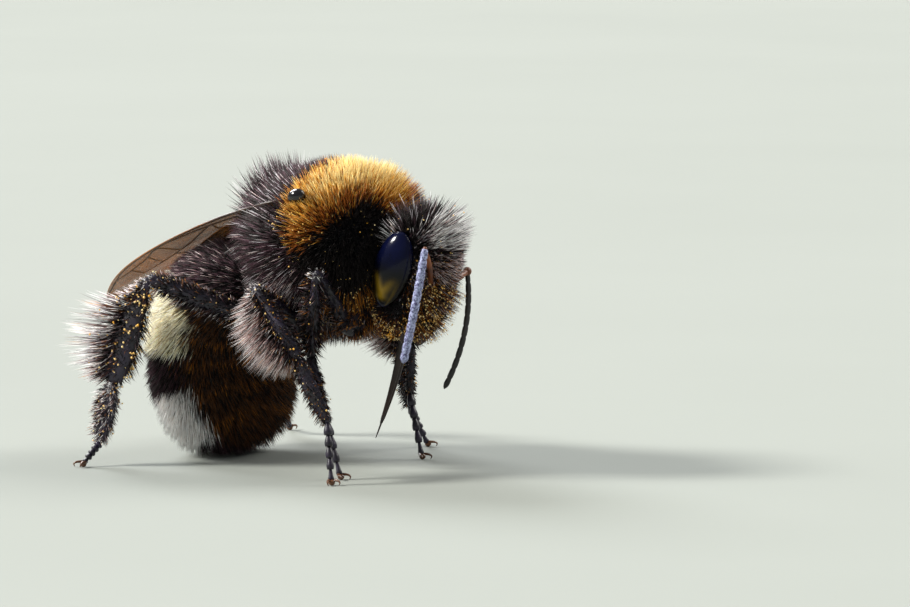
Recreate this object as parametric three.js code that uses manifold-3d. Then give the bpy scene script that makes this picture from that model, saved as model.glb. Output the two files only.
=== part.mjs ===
// A worker bumblebee of the buff-tailed kind, life size, feeding: the head is bent down, the
// abdomen hangs below the folded wings, and all six feet stand on one level.
//
// Millimetres. +X is the way the bee faces, +Y its left side, +Z up. Everything is laid out
// around the middle of the thorax, and the whole bee is then set on the floor, with the origin
// under the middle of its outline. Body solids reach to the tips of the coat.

import * as THREE from "three";
import { mergeVertices } from "three/addons/utils/BufferGeometryUtils.js";
import Module from "manifold-3d";

const wasm = await Module();
wasm.setup();

// ---------------------------------------------------------------- driving dimensions

const FLOOR = -7.3; // level of the feet below the middle of the thorax
const GAP = 0.04; // clear width of the thin cuts between neighbouring parts
const REACH = 40; // edge of a block that is larger than the bee
const FACET = 0.008; // a cut's facets are merged where they lie flatter than this

const THORAX = { length: 3.3, width: 3.35, height: 3.25, squareness: 2.3, pitch: 20 };
const SCUTELLUM_TUFT = { rise: 0.9, at: -0.62, spread: 0.45 };
const THORAX_CUTS = [-1, -0.45, 0.12, 1]; // scutellum, scutum, collar, as shares of the length

const ABDOMEN = { width: 3.05, depth: 2.3, squareness: 2.75, flare: 0.03 };
const ABDOMEN_AXIS = [
  [-2.3, 0, -1.45],
  [-5.3, 0, -1.3],
  [-5.5, 0, -4.3],
  [-3.9, 0, -6.88],
]; // waist end, shoulder, hollow of the belly, tip
const ABDOMEN_CUTS = [0, 0.31, 0.53, 0.7, 0.82, 0.92, 1]; // ends of the six segments

const HEAD = { at: [3.35, 0, -0.95], pitch: 13 };
const HEAD_PROFILE = [
  { up: -2.5, rear: -0.1, front: 0.2, half: 0.25 },
  { up: -2.05, rear: -0.75, front: 0.6, half: 1.1 },
  { up: -1.2, rear: -1.0, front: 0.96, half: 1.62 },
  { up: -0.2, rear: -1.15, front: 1.26, half: 1.88 },
  { up: 0.8, rear: -1.2, front: 1.42, half: 1.92 },
  { up: 1.8, rear: -1.05, front: 1.4, half: 1.7 },
  { up: 2.5, rear: -0.6, front: 1.1, half: 1.2 },
  { up: 2.8, rear: 0.1, front: 0.5, half: 0.2 },
]; // reach of the head's hair, from the mouth up to the crown
const EYE = { out: 1.66, ahead: 0.05, up: 0.55, width: 0.48, depth: 0.72, height: 1.25, toe: 4 };

const FEELER = 0.25; // radius of the flagellum
const SCAPE = 0.26;

const TEGULA = { at: [0.2, 2.5, 2.0], length: 0.52, width: 0.4, height: 0.36 };
// The right pair lies over the left one, which slopes down a little more steeply.
const WING = { thickness: 0.5, sweep: 6.5 };
const WING_FOLD = {
  right: { slope: 24, lift: 0.5, roll: -10 },
  left: { slope: 26.5, lift: -0.3, roll: -2 },
};

// ---------------------------------------------------------------- finishes

function finish(color, roughness) {
  return new THREE.MeshStandardMaterial({ color, roughness, metalness: 0 });
}

const FINISHES = {
  blackFur: finish(0x1d1916, 0.85),
  goldFur: finish(0xc9822a, 0.85),
  creamFur: finish(0xd9c07c, 0.85),
  whiteFur: finish(0xe6ded2, 0.85),
  chitin: finish(0x17130f, 0.4),
  eye: finish(0x0b0d18, 0.15),
  wing: finish(0x8a6a44, 0.3),
};

// ---------------------------------------------------------------- lofts and cuts

const vector = (p) => new THREE.Vector3(...p);
const radians = THREE.MathUtils.degToRad;

/** Raises the size of x to a power and keeps its sign, which squares off an oval. */
function signedPower(x, power) {
  return Math.sign(x) * Math.abs(x) ** power;
}

/** Half width of a rounded body at a place from -1 to 1 along it, as a share of its widest. */
function swell(place, squareness) {
  return Math.max(0, 1 - Math.abs(place) ** squareness) ** (1 / squareness);
}

/** A smooth hump of height 1 around a place. */
function hump(x, at, spread) {
  return Math.exp(-(((x - at) / spread) ** 2));
}

/**
 * A closed body through a list of rings. Each ring is an oval around `at`, whose half axes are
 * the vectors `side` and `top`. A ring of no size becomes one point.
 */
function loft(rings, sides = 10, squareness = 2) {
  const position = [];
  const index = [];
  const add = (p) => position.push(p.x, p.y, p.z) / 3 - 1;
  const power = 2 / squareness;
  const loops = rings.map(({ at, side, top }) => {
    if (side.length() < 1e-3) return Array(sides).fill(add(at));
    return Array.from({ length: sides }, (_, i) => {
      const turn = (2 * Math.PI * i) / sides;
      const p = at.clone();
      p.addScaledVector(side, signedPower(Math.cos(turn), power));
      return add(p.addScaledVector(top, signedPower(Math.sin(turn), power)));
    });
  });
  const face = (a, b, c) => a !== b && b !== c && c !== a && index.push(a, b, c);
  for (let r = 0; r + 1 < loops.length; r++)
    for (let i = 0; i < sides; i++) {
      const j = (i + 1) % sides;
      face(loops[r][i], loops[r][j], loops[r + 1][j]);
      face(loops[r][i], loops[r + 1][j], loops[r + 1][i]);
    }
  for (const [end, turnedRound] of [[0, true], [loops.length - 1, false]]) {
    const loop = loops[end];
    if (loop[0] === loop[1]) continue;
    const middle = add(rings[end].at);
    for (let i = 0; i < sides; i++) {
      const j = (i + 1) % sides;
      turnedRound ? face(middle, loop[j], loop[i]) : face(middle, loop[i], loop[j]);
    }
  }
  const geometry = new THREE.BufferGeometry();
  geometry.setAttribute("position", new THREE.Float32BufferAttribute(position, 3));
  geometry.setIndex(index);
  return solidOf(geometry);
}

/** A three.js geometry as a solid, turned the right way out. */
function solidOf(geometry) {
  const bare = geometry.clone();
  bare.deleteAttribute("normal");
  bare.deleteAttribute("uv");
  const merged = mergeVertices(bare, 1e-5);
  const vertProperties = new Float32Array(merged.attributes.position.array);
  const triVerts = new Uint32Array(merged.index.array);
  const made = new wasm.Manifold(new wasm.Mesh({ numProp: 3, vertProperties, triVerts }));
  if (made.volume() > 0) return made;
  const turned = triVerts.map((v, i) => triVerts[i % 3 === 1 ? i + 1 : i % 3 === 2 ? i - 1 : i]);
  return new wasm.Manifold(new wasm.Mesh({ numProp: 3, vertProperties, triVerts: turned }));
}

/** The solid as a named mesh; of several loose bodies only the largest is kept. */
function mesh(name, solid, material) {
  const bodies = solid.decompose().sort((a, b) => b.volume() - a.volume());
  const { numProp, vertProperties, triVerts } = bodies[0].asOriginal().simplify(FACET).getMesh();
  const geometry = new THREE.BufferGeometry();
  const interleaved = new THREE.InterleavedBuffer(vertProperties, numProp);
  const position = new THREE.InterleavedBufferAttribute(interleaved, 3, 0);
  geometry.setAttribute("position", position);
  geometry.setIndex(new THREE.BufferAttribute(triVerts, 1));
  geometry.computeVertexNormals();
  const made = new THREE.Mesh(geometry, material);
  made.name = name;
  return made;
}

/** A block that fills all the space on the far side of a plane. */
function beyond(point, normal) {
  const block = new THREE.BoxGeometry(REACH, REACH, REACH);
  block.translate(0, 0, REACH / 2);
  block.applyQuaternion(
    new THREE.Quaternion().setFromUnitVectors(new THREE.Vector3(0, 0, 1), normal),
  );
  block.translate(point.x, point.y, point.z);
  return solidOf(block);
}

/** The solid less all of these others. */
function carve(solid, others) {
  return others.reduce((rest, other) => rest.subtract(other), solid);
}

/** An egg or ball: half sizes along three axes that `turn` turns, around `at`. */
function egg(at, { depth, width, height }, turn, grow = 0, rings = 9, sides = 14) {
  const axis = (x, y, z) => new THREE.Vector3(x, y, z).applyQuaternion(turn);
  const stations = Array.from({ length: rings }, (_, i) => {
    const slope = (Math.PI * i) / (rings - 1);
    const round = i % (rings - 1) === 0 ? 0 : Math.sin(slope);
    return {
      at: at.clone().add(axis(0, 0, -(height + grow) * Math.cos(slope))),
      side: axis((depth + grow) * round, 0, 0),
      top: axis(0, (width + grow) * round, 0),
    };
  });
  return loft(stations, sides);
}

// ---------------------------------------------------------------- limbs

/** Half width along a limb: thin ends, and a belly that is widest at `peak`. */
function belly(ends, widest, peak = 0.5) {
  const skew = Math.log(0.5) / Math.log(peak);
  return (t) => ends + (widest - ends) * Math.sin(Math.PI * t ** skew) ** 0.8;
}

/**
 * A limb from one joint to the next. `across` is the direction in which it is broad, `breadth`
 * and `thickness` give its half sizes along it, and `fringe` sets it off to the side on which
 * its hair stands. It runs a little past both joints, for the cuts that part it there.
 */
function limb(from, to, shape, grow = 0) {
  const { across, breadth, thickness, fringe = () => 0, rings = 6, sides = 8, overrun = 0.12 } = shape;
  const along = to.clone().sub(from).normalize();
  const top = along.clone().cross(across).normalize();
  const side = top.clone().cross(along);
  const start = from.clone().addScaledVector(along, -overrun - grow);
  const end = to.clone().addScaledVector(along, overrun + grow);
  const stations = Array.from({ length: rings }, (_, i) => {
    const t = i / (rings - 1);
    return {
      at: start.clone().lerp(end, t).addScaledVector(side, fringe(t)),
      side: side.clone().multiplyScalar(breadth(t) + grow),
      top: top.clone().multiplyScalar(thickness(t) + grow),
    };
  });
  return loft(stations, sides);
}

/** The solids of a jointed chain, each parted from the next by a thin cut across the bend. */
function chain(joints, shapes) {
  const solids = shapes.map((shape, i) => limb(joints[i], joints[i + 1], shape));
  for (let i = 1; i < shapes.length; i++) {
    const before = joints[i].clone().sub(joints[i - 1]).normalize();
    const after = joints[i + 1].clone().sub(joints[i]).normalize();
    const through = before.add(after).normalize();
    const half = through.clone().multiplyScalar(GAP / 2);
    const ahead = beyond(joints[i].clone().sub(half), through);
    const behind = beyond(joints[i].clone().add(half), through.clone().negate());
    solids[i - 1] = solids[i - 1].subtract(ahead);
    solids[i] = solids[i].subtract(behind);
  }
  return solids;
}

// ---------------------------------------------------------------- legs

// Joints of each leg: hip, trochanter, knee, ankle, heel and toe. The toes are put on the floor.
const LEGS = {
  front_right: [
    [1.6, -0.7, -1.9],
    [1.5, -1.35, -2.45],
    [1.37, -2.95, -0.52],
    [1.2, -3.05, -3.35],
    [1.7, -2.95, -5.0],
    [2.4, -3.05, FLOOR],
  ],
  front_left: [
    [1.6, 0.7, -1.9],
    [1.5, 1.35, -2.45],
    [0.85, 2.95, -1.2],
    [0.8, 3.05, -3.5],
    [0.9, 2.85, -5.1],
    [1.5, 2.7, FLOOR],
  ],
  middle_right: [
    [0.1, -1.1, -2.3],
    [-0.05, -1.75, -2.65],
    [-0.39, -4.0, -1.09],
    [1.46, -4.1, -3.28],
    [2.66, -4.05, -5.3],
    [3.0, -4.3, FLOOR],
  ],
  middle_left: [
    [0.1, 1.1, -2.3],
    [-0.05, 1.75, -2.65],
    [-0.9, 4.05, -1.2],
    [-0.6, 4.45, -3.95],
    [-0.5, 4.75, -5.85],
    [-0.3, 5.45, FLOOR],
  ],
  hind_right: [
    [-1.3, -1.0, -2.2],
    [-1.7, -1.65, -2.55],
    [-5.02, -3.86, -1.02],
    [-6.07, -4.47, -4.51],
    [-6.2, -4.9, -6.5],
    [-6.4, -5.5, FLOOR],
  ],
  hind_left: [
    [-1.3, 1.0, -2.2],
    [-1.7, 1.65, -2.55],
    [-4.75, 4.1, -1.1],
    [-6.0, 4.75, -4.5],
    [-6.35, 5.25, -6.5],
    [-6.8, 6.2, FLOOR],
  ],
};
const LEG_PARTS = ["coxa", "femur", "tibia", "basitarsus", "tarsus"];

// Half sizes of the parts, broad way and thin way, with the hair; the fringe stands to the rear.
const LEG_SIZES = {
  front: { femur: 0.42, tibia: 0.4, tibiaThin: 0.34, basitarsus: 0.32, fringe: 0.05 },
  middle: { femur: 0.45, tibia: 1.05, tibiaThin: 0.42, basitarsus: 0.36, fringe: 0.66 },
  hind: { femur: 0.48, tibia: 1.28, tibiaThin: 0.42, basitarsus: 0.46, fringe: 0.68 },
};
const TARSUS_BEADS = 4;
const TARSUS = { radius: 0.26, waist: 0.2, sole: 0.3 };

/** Half width of the beaded foot: one bead for each short joint, then the clawed end. */
function beads(t) {
  const bead = Math.abs(Math.sin(Math.PI * TARSUS_BEADS * t * 0.999));
  return TARSUS.waist + (TARSUS.radius - TARSUS.waist) * bead;
}

/** The shapes of the five parts of a leg, from hip to toe. */
function legShapes(pair, joints) {
  const size = LEG_SIZES[pair];
  const rear = (i) => {
    const along = joints[i + 1].clone().sub(joints[i]).normalize();
    const out = new THREE.Vector3(0, Math.sign(joints[2].y), 0);
    return along.clone().cross(out).cross(along).cross(along).normalize();
  };
  const toRear = (i) => {
    const side = rear(i);
    return side.x > 0 ? side.negate() : side;
  };
  const plain = (i, ends, widest, rings = 5, peak = 0.5) => ({
    across: toRear(i),
    breadth: belly(ends, widest, peak),
    thickness: belly(ends, widest * 0.85, peak),
    rings,
  });
  return [
    { ...plain(0, 0.38, 0.5), overrun: 0.15 },
    plain(1, 0.3, size.femur, 6, 0.35),
    {
      across: toRear(2),
      breadth: belly(0.27, size.tibia, 0.6),
      thickness: belly(0.26, size.tibiaThin, 0.6),
      fringe: (t) => size.fringe * Math.sin(Math.PI * t),
      rings: 7,
    },
    plain(3, 0.26, size.basitarsus, 5, 0.4),
    {
      across: toRear(4),
      breadth: beads,
      thickness: beads,
      rings: 2 * TARSUS_BEADS + 1,
      sides: 6,
    },
  ];
}

/** A leg's solids by part name; the toe ends in a small sole on the floor. */
function leg(name) {
  const joints = LEGS[name].map(vector);
  const pair = name.split("_")[0];
  const shapes = legShapes(pair, joints);
  const solids = chain(joints, shapes);
  const toe = joints[5];
  const pad = { depth: TARSUS.sole * 1.25, width: TARSUS.sole, height: TARSUS.sole };
  const facing = new THREE.Quaternion().setFromAxisAngle(
    new THREE.Vector3(0, 0, 1),
    Math.atan2(toe.y - joints[4].y, toe.x - joints[4].x),
  );
  const lifted = toe.clone().setZ(FLOOR + TARSUS.sole * 0.6);
  const ground = beyond(new THREE.Vector3(0, 0, FLOOR), new THREE.Vector3(0, 0, -1));
  solids[4] = solids[4].add(egg(lifted, pad, facing, 0, 5, 8)).subtract(ground);
  const grown = [0, 1].map((i) => limb(joints[i], joints[i + 1], shapes[i], GAP));
  return { solids, grown, tibia: limb(joints[2], joints[3], shapes[2], GAP) };
}

// ---------------------------------------------------------------- thorax

const thoraxTurn = new THREE.Quaternion().setFromAxisAngle(
  new THREE.Vector3(0, 1, 0),
  radians(-THORAX.pitch),
);

/** One ring of the thorax, at a place from -1 at the waist to 1 at the neck. */
function thoraxRing(place, grow = 0) {
  const { length, width, height, squareness } = THORAX;
  const round = swell(place, squareness);
  const tuft = SCUTELLUM_TUFT.rise * hump(place, SCUTELLUM_TUFT.at, SCUTELLUM_TUFT.spread) * round;
  const axis = (x, y, z) => new THREE.Vector3(x, y, z).applyQuaternion(thoraxTurn);
  return {
    at: axis((length + grow) * place, 0, tuft / 2),
    side: axis(0, (width + grow) * round, 0),
    top: axis(0, 0, (height + grow) * round + tuft / 2),
  };
}

/** A length of the thorax between two places, with `rings` rings that lie closer at its ends. */
function thoraxLength(from, to, rings, grow = 0, sides = 20) {
  const slope = (place) => Math.acos(-place);
  const stations = Array.from({ length: rings }, (_, i) => {
    const a = THREE.MathUtils.lerp(slope(from), slope(to), i / (rings - 1));
    return thoraxRing(-Math.cos(a), grow);
  });
  return loft(stations, sides, THORAX.squareness);
}

// ---------------------------------------------------------------- abdomen

const abdomenAxis = new THREE.CubicBezierCurve3(...ABDOMEN_AXIS.map(vector));

/** One ring of the abdomen, at a place from 0 at the waist to 1 at the tip. */
function abdomenRing(place, flare, grow = 0) {
  const along = abdomenAxis.getTangentAt(place);
  const back = along.clone().cross(new THREE.Vector3(0, 1, 0)).normalize();
  const round = swell(2 * place - 1, ABDOMEN.squareness) * flare;
  const size = round > 0 ? 1 : 0;
  return {
    at: abdomenAxis.getPointAt(place),
    side: new THREE.Vector3(0, ABDOMEN.width * round + grow * size, 0),
    top: back.multiplyScalar(ABDOMEN.depth * round + grow * size),
  };
}

/** One segment of the abdomen; each flares a little over the next. */
function abdomenSegment(number) {
  const gap = GAP / abdomenAxis.getLength() / 2;
  const from = ABDOMEN_CUTS[number] + (number ? gap : 0);
  const to = ABDOMEN_CUTS[number + 1] - (number < 5 ? gap : 0);
  const rings = number === 0 || number === 5 ? 5 : 3;
  const stations = Array.from({ length: rings }, (_, i) => {
    const t = i / (rings - 1);
    const eased = number === 0 ? t * t : number === 5 ? 1 - (1 - t) ** 2 : t;
    const flare = 1 + ABDOMEN.flare * (t - 0.5);
    return abdomenRing(THREE.MathUtils.lerp(from, to, eased), flare);
  });
  return loft(stations, 20, 2.2);
}

// ---------------------------------------------------------------- head

const headAt = vector(HEAD.at);
const headTurn = new THREE.Quaternion().setFromAxisAngle(
  new THREE.Vector3(0, 1, 0),
  radians(HEAD.pitch),
);

/** A place in the head's own frame: ahead of its middle, to the left, and up. */
function onHead(ahead, left, up) {
  return new THREE.Vector3(ahead, left, up).applyQuaternion(headTurn).add(headAt);
}

// The profile smoothed: rear, front and half width of the head, from the mouth to the crown.
const headCurve = new THREE.CatmullRomCurve3(
  HEAD_PROFILE.map(({ rear, front, half }) => new THREE.Vector3(rear, front, half)),
);
const headHeights = new THREE.SplineCurve(HEAD_PROFILE.map(({ up }) => new THREE.Vector2(up, 0)));

/** The head with its hair. */
function headForm(grow = 0, rings = 11, sides = 18) {
  const axis = (x, y, z) => new THREE.Vector3(x, y, z).applyQuaternion(headTurn);
  const stations = Array.from({ length: rings }, (_, i) => {
    const t = i / (rings - 1);
    const { x: rear, y: front, z: half } = headCurve.getPoint(t);
    const end = i === 0 ? -grow : i === rings - 1 ? grow : 0;
    return {
      at: onHead((rear + front) / 2, 0, headHeights.getPoint(t).x + end),
      side: axis((front - rear) / 2 + grow, 0, 0),
      top: axis(0, half + grow, 0),
    };
  });
  return loft(stations, sides, 2.15);
}

/** A compound eye, on the left (1) or the right (-1). */
function eye(hand, grow = 0) {
  const toe = new THREE.Quaternion().setFromAxisAngle(
    new THREE.Vector3(1, 0, 0),
    radians(EYE.toe * hand),
  );
  return egg(onHead(EYE.ahead, EYE.out * hand, EYE.up), EYE, headTurn.clone().multiply(toe), grow);
}

// Elbow, middle and tip of each flagellum.
const FEELERS = {
  right: [
    [4.85, -1.65, 0.33],
    [4.63, -1.9, -1.55],
    [4.14, -1.9, -3.45],
  ],
  left: [
    [4.16, 1.55, -0.78],
    [3.88, 1.86, -2.74],
    [3.1, 1.8, -4.72],
  ],
};

/** An antenna: the scape from its socket to the elbow, and the ringed flagellum. */
function feeler(side) {
  const hand = side === "left" ? 1 : -1;
  const socket = onHead(0.75, 0.38 * hand, 0.05);
  const [elbow, middle, tip] = FEELERS[side].map(vector);
  const curve = new THREE.QuadraticBezierCurve3(
    elbow,
    middle.clone().multiplyScalar(2).sub(elbow.clone().add(tip).multiplyScalar(0.5)),
    tip,
  );
  const across = new THREE.Vector3(0, 1, 0);
  const steps = 12;
  const rings = Array.from({ length: steps + 1 }, (_, i) => {
    const t = i / steps;
    const along = curve.getTangentAt(t);
    const top = along.clone().cross(across).normalize();
    const radius = FEELER * (i === steps ? 0.6 : 1);
    return {
      at: curve.getPointAt(t),
      side: top.clone().cross(along).multiplyScalar(radius),
      top: top.multiplyScalar(radius),
    };
  });
  const shape = { across, breadth: belly(SCAPE, SCAPE), thickness: belly(SCAPE, SCAPE), rings: 3 };
  const through = elbow.clone().sub(socket).normalize().add(curve.getTangentAt(0)).normalize();
  const half = through.clone().multiplyScalar(GAP / 2);
  const scape = carve(limb(socket, elbow, shape), [
    beyond(elbow.clone().sub(half), through),
    eye(hand, GAP),
  ]);
  const flagellum = carve(loft(rings, 8), [
    beyond(elbow.clone().add(half), through.clone().negate()),
    eye(hand, GAP),
  ]);
  const thicker = rings.map(({ at, side, top }) => ({
    at,
    side: side.clone().multiplyScalar(1 + GAP / FEELER),
    top: top.clone().multiplyScalar(1 + GAP / FEELER),
  }));
  return { scape, flagellum, grown: [limb(socket, elbow, shape, GAP), loft(thicker, 8)] };
}

/** A jaw, on the left (1) or the right (-1), closed under the face. */
function jaw(hand, grow = 0) {
  const shape = {
    across: new THREE.Vector3(1, 0, 0),
    breadth: belly(0.28, 0.36, 0.4),
    thickness: belly(0.25, 0.27),
    rings: 5,
    overrun: 0,
  };
  return limb(onHead(0.2, 0.95 * hand, -1.6), onHead(0.1, 0.3 * hand, -2.55), shape, grow);
}

/** The tongue in its sheath, from behind the jaws down towards the floor. */
function tongue(grow = 0) {
  const shape = {
    across: new THREE.Vector3(1, 0, 0),
    breadth: belly(0.26, 0.34, 0.2),
    thickness: belly(0.25, 0.3, 0.2),
    rings: 6,
    overrun: 0,
  };
  return limb(onHead(-0.8, 0, -1.6), new THREE.Vector3(1.6, 0, -6.3), shape, grow);
}

// ---------------------------------------------------------------- wings

// Outlines in the wing's own plane: x runs from root to tip, y towards the rear edge.
const FOREWING = { length: 10.1, chord: 2.9 };
const HINDWING = { length: 6.4, chord: 1.7 };

/** A wing's outline: nearly straight in front, rounded at the tip, and full at the rear. */
function wingOutline({ length, chord }, root) {
  const outline = new THREE.Shape();
  outline.moveTo(0, -root / 2);
  outline.bezierCurveTo(length * 0.35, -root / 2, length * 0.8, -chord * 0.32, length, chord * 0.22);
  outline.bezierCurveTo(length * 1.02, chord * 0.55, length * 0.88, chord * 0.8, length * 0.72, chord * 0.82);
  outline.bezierCurveTo(length * 0.5, chord * 0.86, length * 0.25, root, 0, root / 2);
  return outline;
}

/** A flat wing as a solid in its own plane. */
function wingPlate(size, root, grow = 0) {
  const depth = WING.thickness + 2 * grow;
  const plate = new THREE.ExtrudeGeometry(wingOutline(size, root), {
    depth,
    bevelEnabled: false,
    curveSegments: 9,
  });
  plate.translate(0, 0, -depth / 2);
  return plate;
}

/** The fore and hind wing of one side, folded back over the abdomen. */
function wings(side, hand) {
  const root = TEGULA.at.map((v, i) => (i === 1 ? v * hand : v));
  const { slope, lift, roll } = WING_FOLD[side];
  const turn = new THREE.Matrix4()
    .makeTranslation(root[0] - TEGULA.length * 0.6, root[1], root[2] + lift)
    .multiply(new THREE.Matrix4().makeRotationY(radians(-slope)))
    .multiply(new THREE.Matrix4().makeRotationZ(radians(180 + WING.sweep * hand)))
    .multiply(new THREE.Matrix4().makeRotationX(radians(roll * hand)));
  const place = (geometry) => {
    if (hand < 0) geometry.scale(1, -1, 1);
    geometry.applyMatrix4(turn);
    return solidOf(geometry);
  };
  const fore = (grow) => place(wingPlate(FOREWING, 0.9, grow));
  const hind = (grow) => {
    const plate = wingPlate(HINDWING, 0.8, grow);
    plate.rotateZ(radians(10));
    plate.translate(0.5, 0.45, 0);
    return place(plate);
  };
  return { fore, hind };
}

// ---------------------------------------------------------------- assembly

const bee = new THREE.Group();

const legs = Object.fromEntries(Object.keys(LEGS).map((name) => [name, leg(name)]));
const legRoots = Object.values(legs).flatMap(({ grown }) => grown);
const frontRoots = [...legs.front_right.grown, ...legs.front_left.grown];
const frontTibias = [legs.front_right.tibia, legs.front_left.tibia];
for (const [name, { solids }] of Object.entries(legs))
  LEG_PARTS.forEach((part, i) => bee.add(mesh(`leg_${name}_${part}`, solids[i], FINISHES.chitin)));

const HANDS = { right: -1, left: 1 };
const wingRoots = [];
for (const [side, hand] of Object.entries(HANDS)) {
  const at = vector(TEGULA.at.map((v, i) => (i === 1 ? v * hand : v)));
  const size = { depth: TEGULA.length, width: TEGULA.width, height: TEGULA.height };
  const grownTegula = egg(at, size, thoraxTurn, GAP, 7, 10);
  const { fore, hind } = wings(side, hand);
  const foreSolid = carve(fore(0), [grownTegula]);
  const hindSolid = carve(hind(0), [grownTegula, fore(GAP)]);
  wingRoots.push(grownTegula, fore(GAP), hind(GAP));
  bee.add(mesh(`tegula_${side}`, egg(at, size, thoraxTurn, 0, 7, 10), FINISHES.chitin));
  bee.add(mesh(`forewing_${side}`, foreSolid, FINISHES.wing));
  bee.add(mesh(`hindwing_${side}`, hindSolid, FINISHES.wing));
}

const eyes = Object.entries(HANDS).map(([, hand]) => eye(hand, GAP));
const THORAX_PARTS = [
  ["thorax_scutellum", FINISHES.blackFur],
  ["thorax_scutum", FINISHES.blackFur],
  ["thorax_collar", FINISHES.goldFur],
];
THORAX_PARTS.forEach(([name, material], i) => {
  const half = GAP / THORAX.length / 2;
  const from = THORAX_CUTS[i] + (i ? half : 0);
  const to = THORAX_CUTS[i + 1] - (i < 2 ? half : 0);
  const cut = carve(thoraxLength(from, to, i === 1 ? 3 : 6), [
    headForm(GAP),
    tongue(GAP),
    ...eyes,
    ...legRoots,
    ...frontTibias,
    ...wingRoots,
  ]);
  bee.add(mesh(name, cut, material));
});

const ABDOMEN_FINISHES = ["blackFur", "creamFur", "blackFur", "whiteFur", "whiteFur", "blackFur"];
const wholeThorax = thoraxLength(-1, 1, 11, GAP);
ABDOMEN_FINISHES.forEach((finishName, i) => {
  const cut = carve(abdomenSegment(i), [wholeThorax, ...legRoots, ...wingRoots]);
  bee.add(mesh(`abdomen_${i + 1}`, cut, FINISHES[finishName]));
});

const socketed = [tongue(GAP), ...eyes, ...frontRoots];
for (const [side, hand] of Object.entries(HANDS)) {
  const { scape, flagellum, grown } = feeler(side);
  bee.add(mesh(`antenna_${side}_scape`, scape, FINISHES.chitin));
  bee.add(mesh(`antenna_${side}_flagellum`, flagellum, FINISHES.chitin));
  bee.add(mesh(`eye_${side}`, eye(hand), FINISHES.eye));
  bee.add(mesh(`mandible_${side}`, jaw(hand), FINISHES.chitin));
  socketed.push(...grown, jaw(hand, GAP));
}
bee.add(mesh("proboscis", tongue(), FINISHES.chitin));
bee.add(mesh("head", carve(headForm(), socketed), FINISHES.blackFur));

// Sets the bee on the floor, with the origin under the middle of its outline.
const outline = new THREE.Box3().setFromObject(bee);
const middle = outline.getCenter(new THREE.Vector3());
bee.position.set(-middle.x, -middle.y, -outline.min.z);
const part = new THREE.Group();
part.add(bee);

export default part;
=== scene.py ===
"""A life-size worker bumblebee of the buff-tailed kind, feeding with its head bent down.

Everything is modelled in millimetres around the middle of the thorax, with +X the way the bee
faces, +Y its left side and +Z up, and is then brought to metres in the frame's own place.
"""

import logging
import math
from contextlib import contextmanager
from dataclasses import dataclass, field
from enum import Enum
from typing import Callable, Iterator, Sequence

import bpy
import numpy as np
from mathutils import Matrix, Vector
from mathutils.kdtree import KDTree


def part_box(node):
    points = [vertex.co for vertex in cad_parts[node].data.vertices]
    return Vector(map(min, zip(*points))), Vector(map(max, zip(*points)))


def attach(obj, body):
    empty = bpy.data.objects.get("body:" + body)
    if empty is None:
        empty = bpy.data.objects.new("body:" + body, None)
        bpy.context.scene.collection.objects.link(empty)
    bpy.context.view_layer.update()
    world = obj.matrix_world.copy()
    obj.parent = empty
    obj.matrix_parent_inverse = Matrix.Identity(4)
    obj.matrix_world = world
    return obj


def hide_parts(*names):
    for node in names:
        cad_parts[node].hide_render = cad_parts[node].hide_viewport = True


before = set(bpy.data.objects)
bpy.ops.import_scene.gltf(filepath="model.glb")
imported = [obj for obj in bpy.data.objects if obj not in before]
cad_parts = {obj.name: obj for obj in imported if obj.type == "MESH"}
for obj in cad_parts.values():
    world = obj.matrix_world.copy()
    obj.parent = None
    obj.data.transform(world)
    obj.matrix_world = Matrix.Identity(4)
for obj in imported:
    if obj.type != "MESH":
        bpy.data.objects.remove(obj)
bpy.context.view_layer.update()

log = logging.getLogger("bumblebee")

MM = 0.001  # metres in a millimetre
FLOOR = -7.3  # level of the feet below the middle of the thorax
PATCH = 0.003  # size of one hair's patch on the coat's map
PAINT = "coat"  # the colour layer of skin, hair and eyes
RINGS = 2  # rings of three points in each hair, below its tip
STRAND = 3 * RINGS + 1  # points in each hair
SKIN_ROOM = 0.42  # how far the skin lies under a wing, before it is smoothed
HAIR_ROOM = 0.14  # how far the tips of the hair lie under a wing
TINT = 0.25  # how much lighter or darker than its kind a hair may be
BATCH = 20000  # points looked up at a time
WELD = 1e-4  # points of a rod that lie closer than this become one
FINE_WELD = 1e-5  # the same for the thin parts of a wing
SEED = 2377

Array = np.ndarray
Chance = np.random.Generator
Colour = tuple[float, float, float]
Finish = bpy.types.Material
Piece = bpy.types.Object
Point = tuple[float, float, float]
Socket = bpy.types.NodeSocket


# ---------------------------------------------------------------- places on the body


class Side(Enum):
    """The two sides of the bee, as the sign of Y."""

    RIGHT = -1
    LEFT = 1

    @property
    def word(self) -> str:
        """The side's name in a piece's name."""
        return self.name.lower()


class Pair(Enum):
    """The three pairs of legs."""

    FRONT = "front"
    MIDDLE = "middle"
    HIND = "hind"


def unit(v: Array) -> Array:
    """Each row of v at length 1."""
    return v / np.maximum(np.linalg.norm(v, axis=-1, keepdims=True), 1e-9)


def ramp(x: Array, low: float, high: float) -> Array:
    """A smooth step from 0 at low to 1 at high."""
    t = np.clip((x - low) / (high - low), 0.0, 1.0)
    return t * t * (3.0 - 2.0 * t)


def bow(start: Point, control: Point, end: Point, t: float) -> Point:
    """A place on a curve with one control point, from 0 at its start to 1 at its end."""
    return start * (1 - t) ** 2 + 2 * control * t * (1 - t) + end * t * t


def double_bow(t: Array, *corners: Sequence[float]) -> Array:
    """Places on a curve with two control points, one row for each share in t."""
    t = t[:, None]
    a, b, c, d = (np.array(p) for p in corners)
    return (1 - t) ** 3 * a + 3 * (1 - t) ** 2 * t * b + 3 * (1 - t) * t * t * c + t**3 * d


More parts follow.
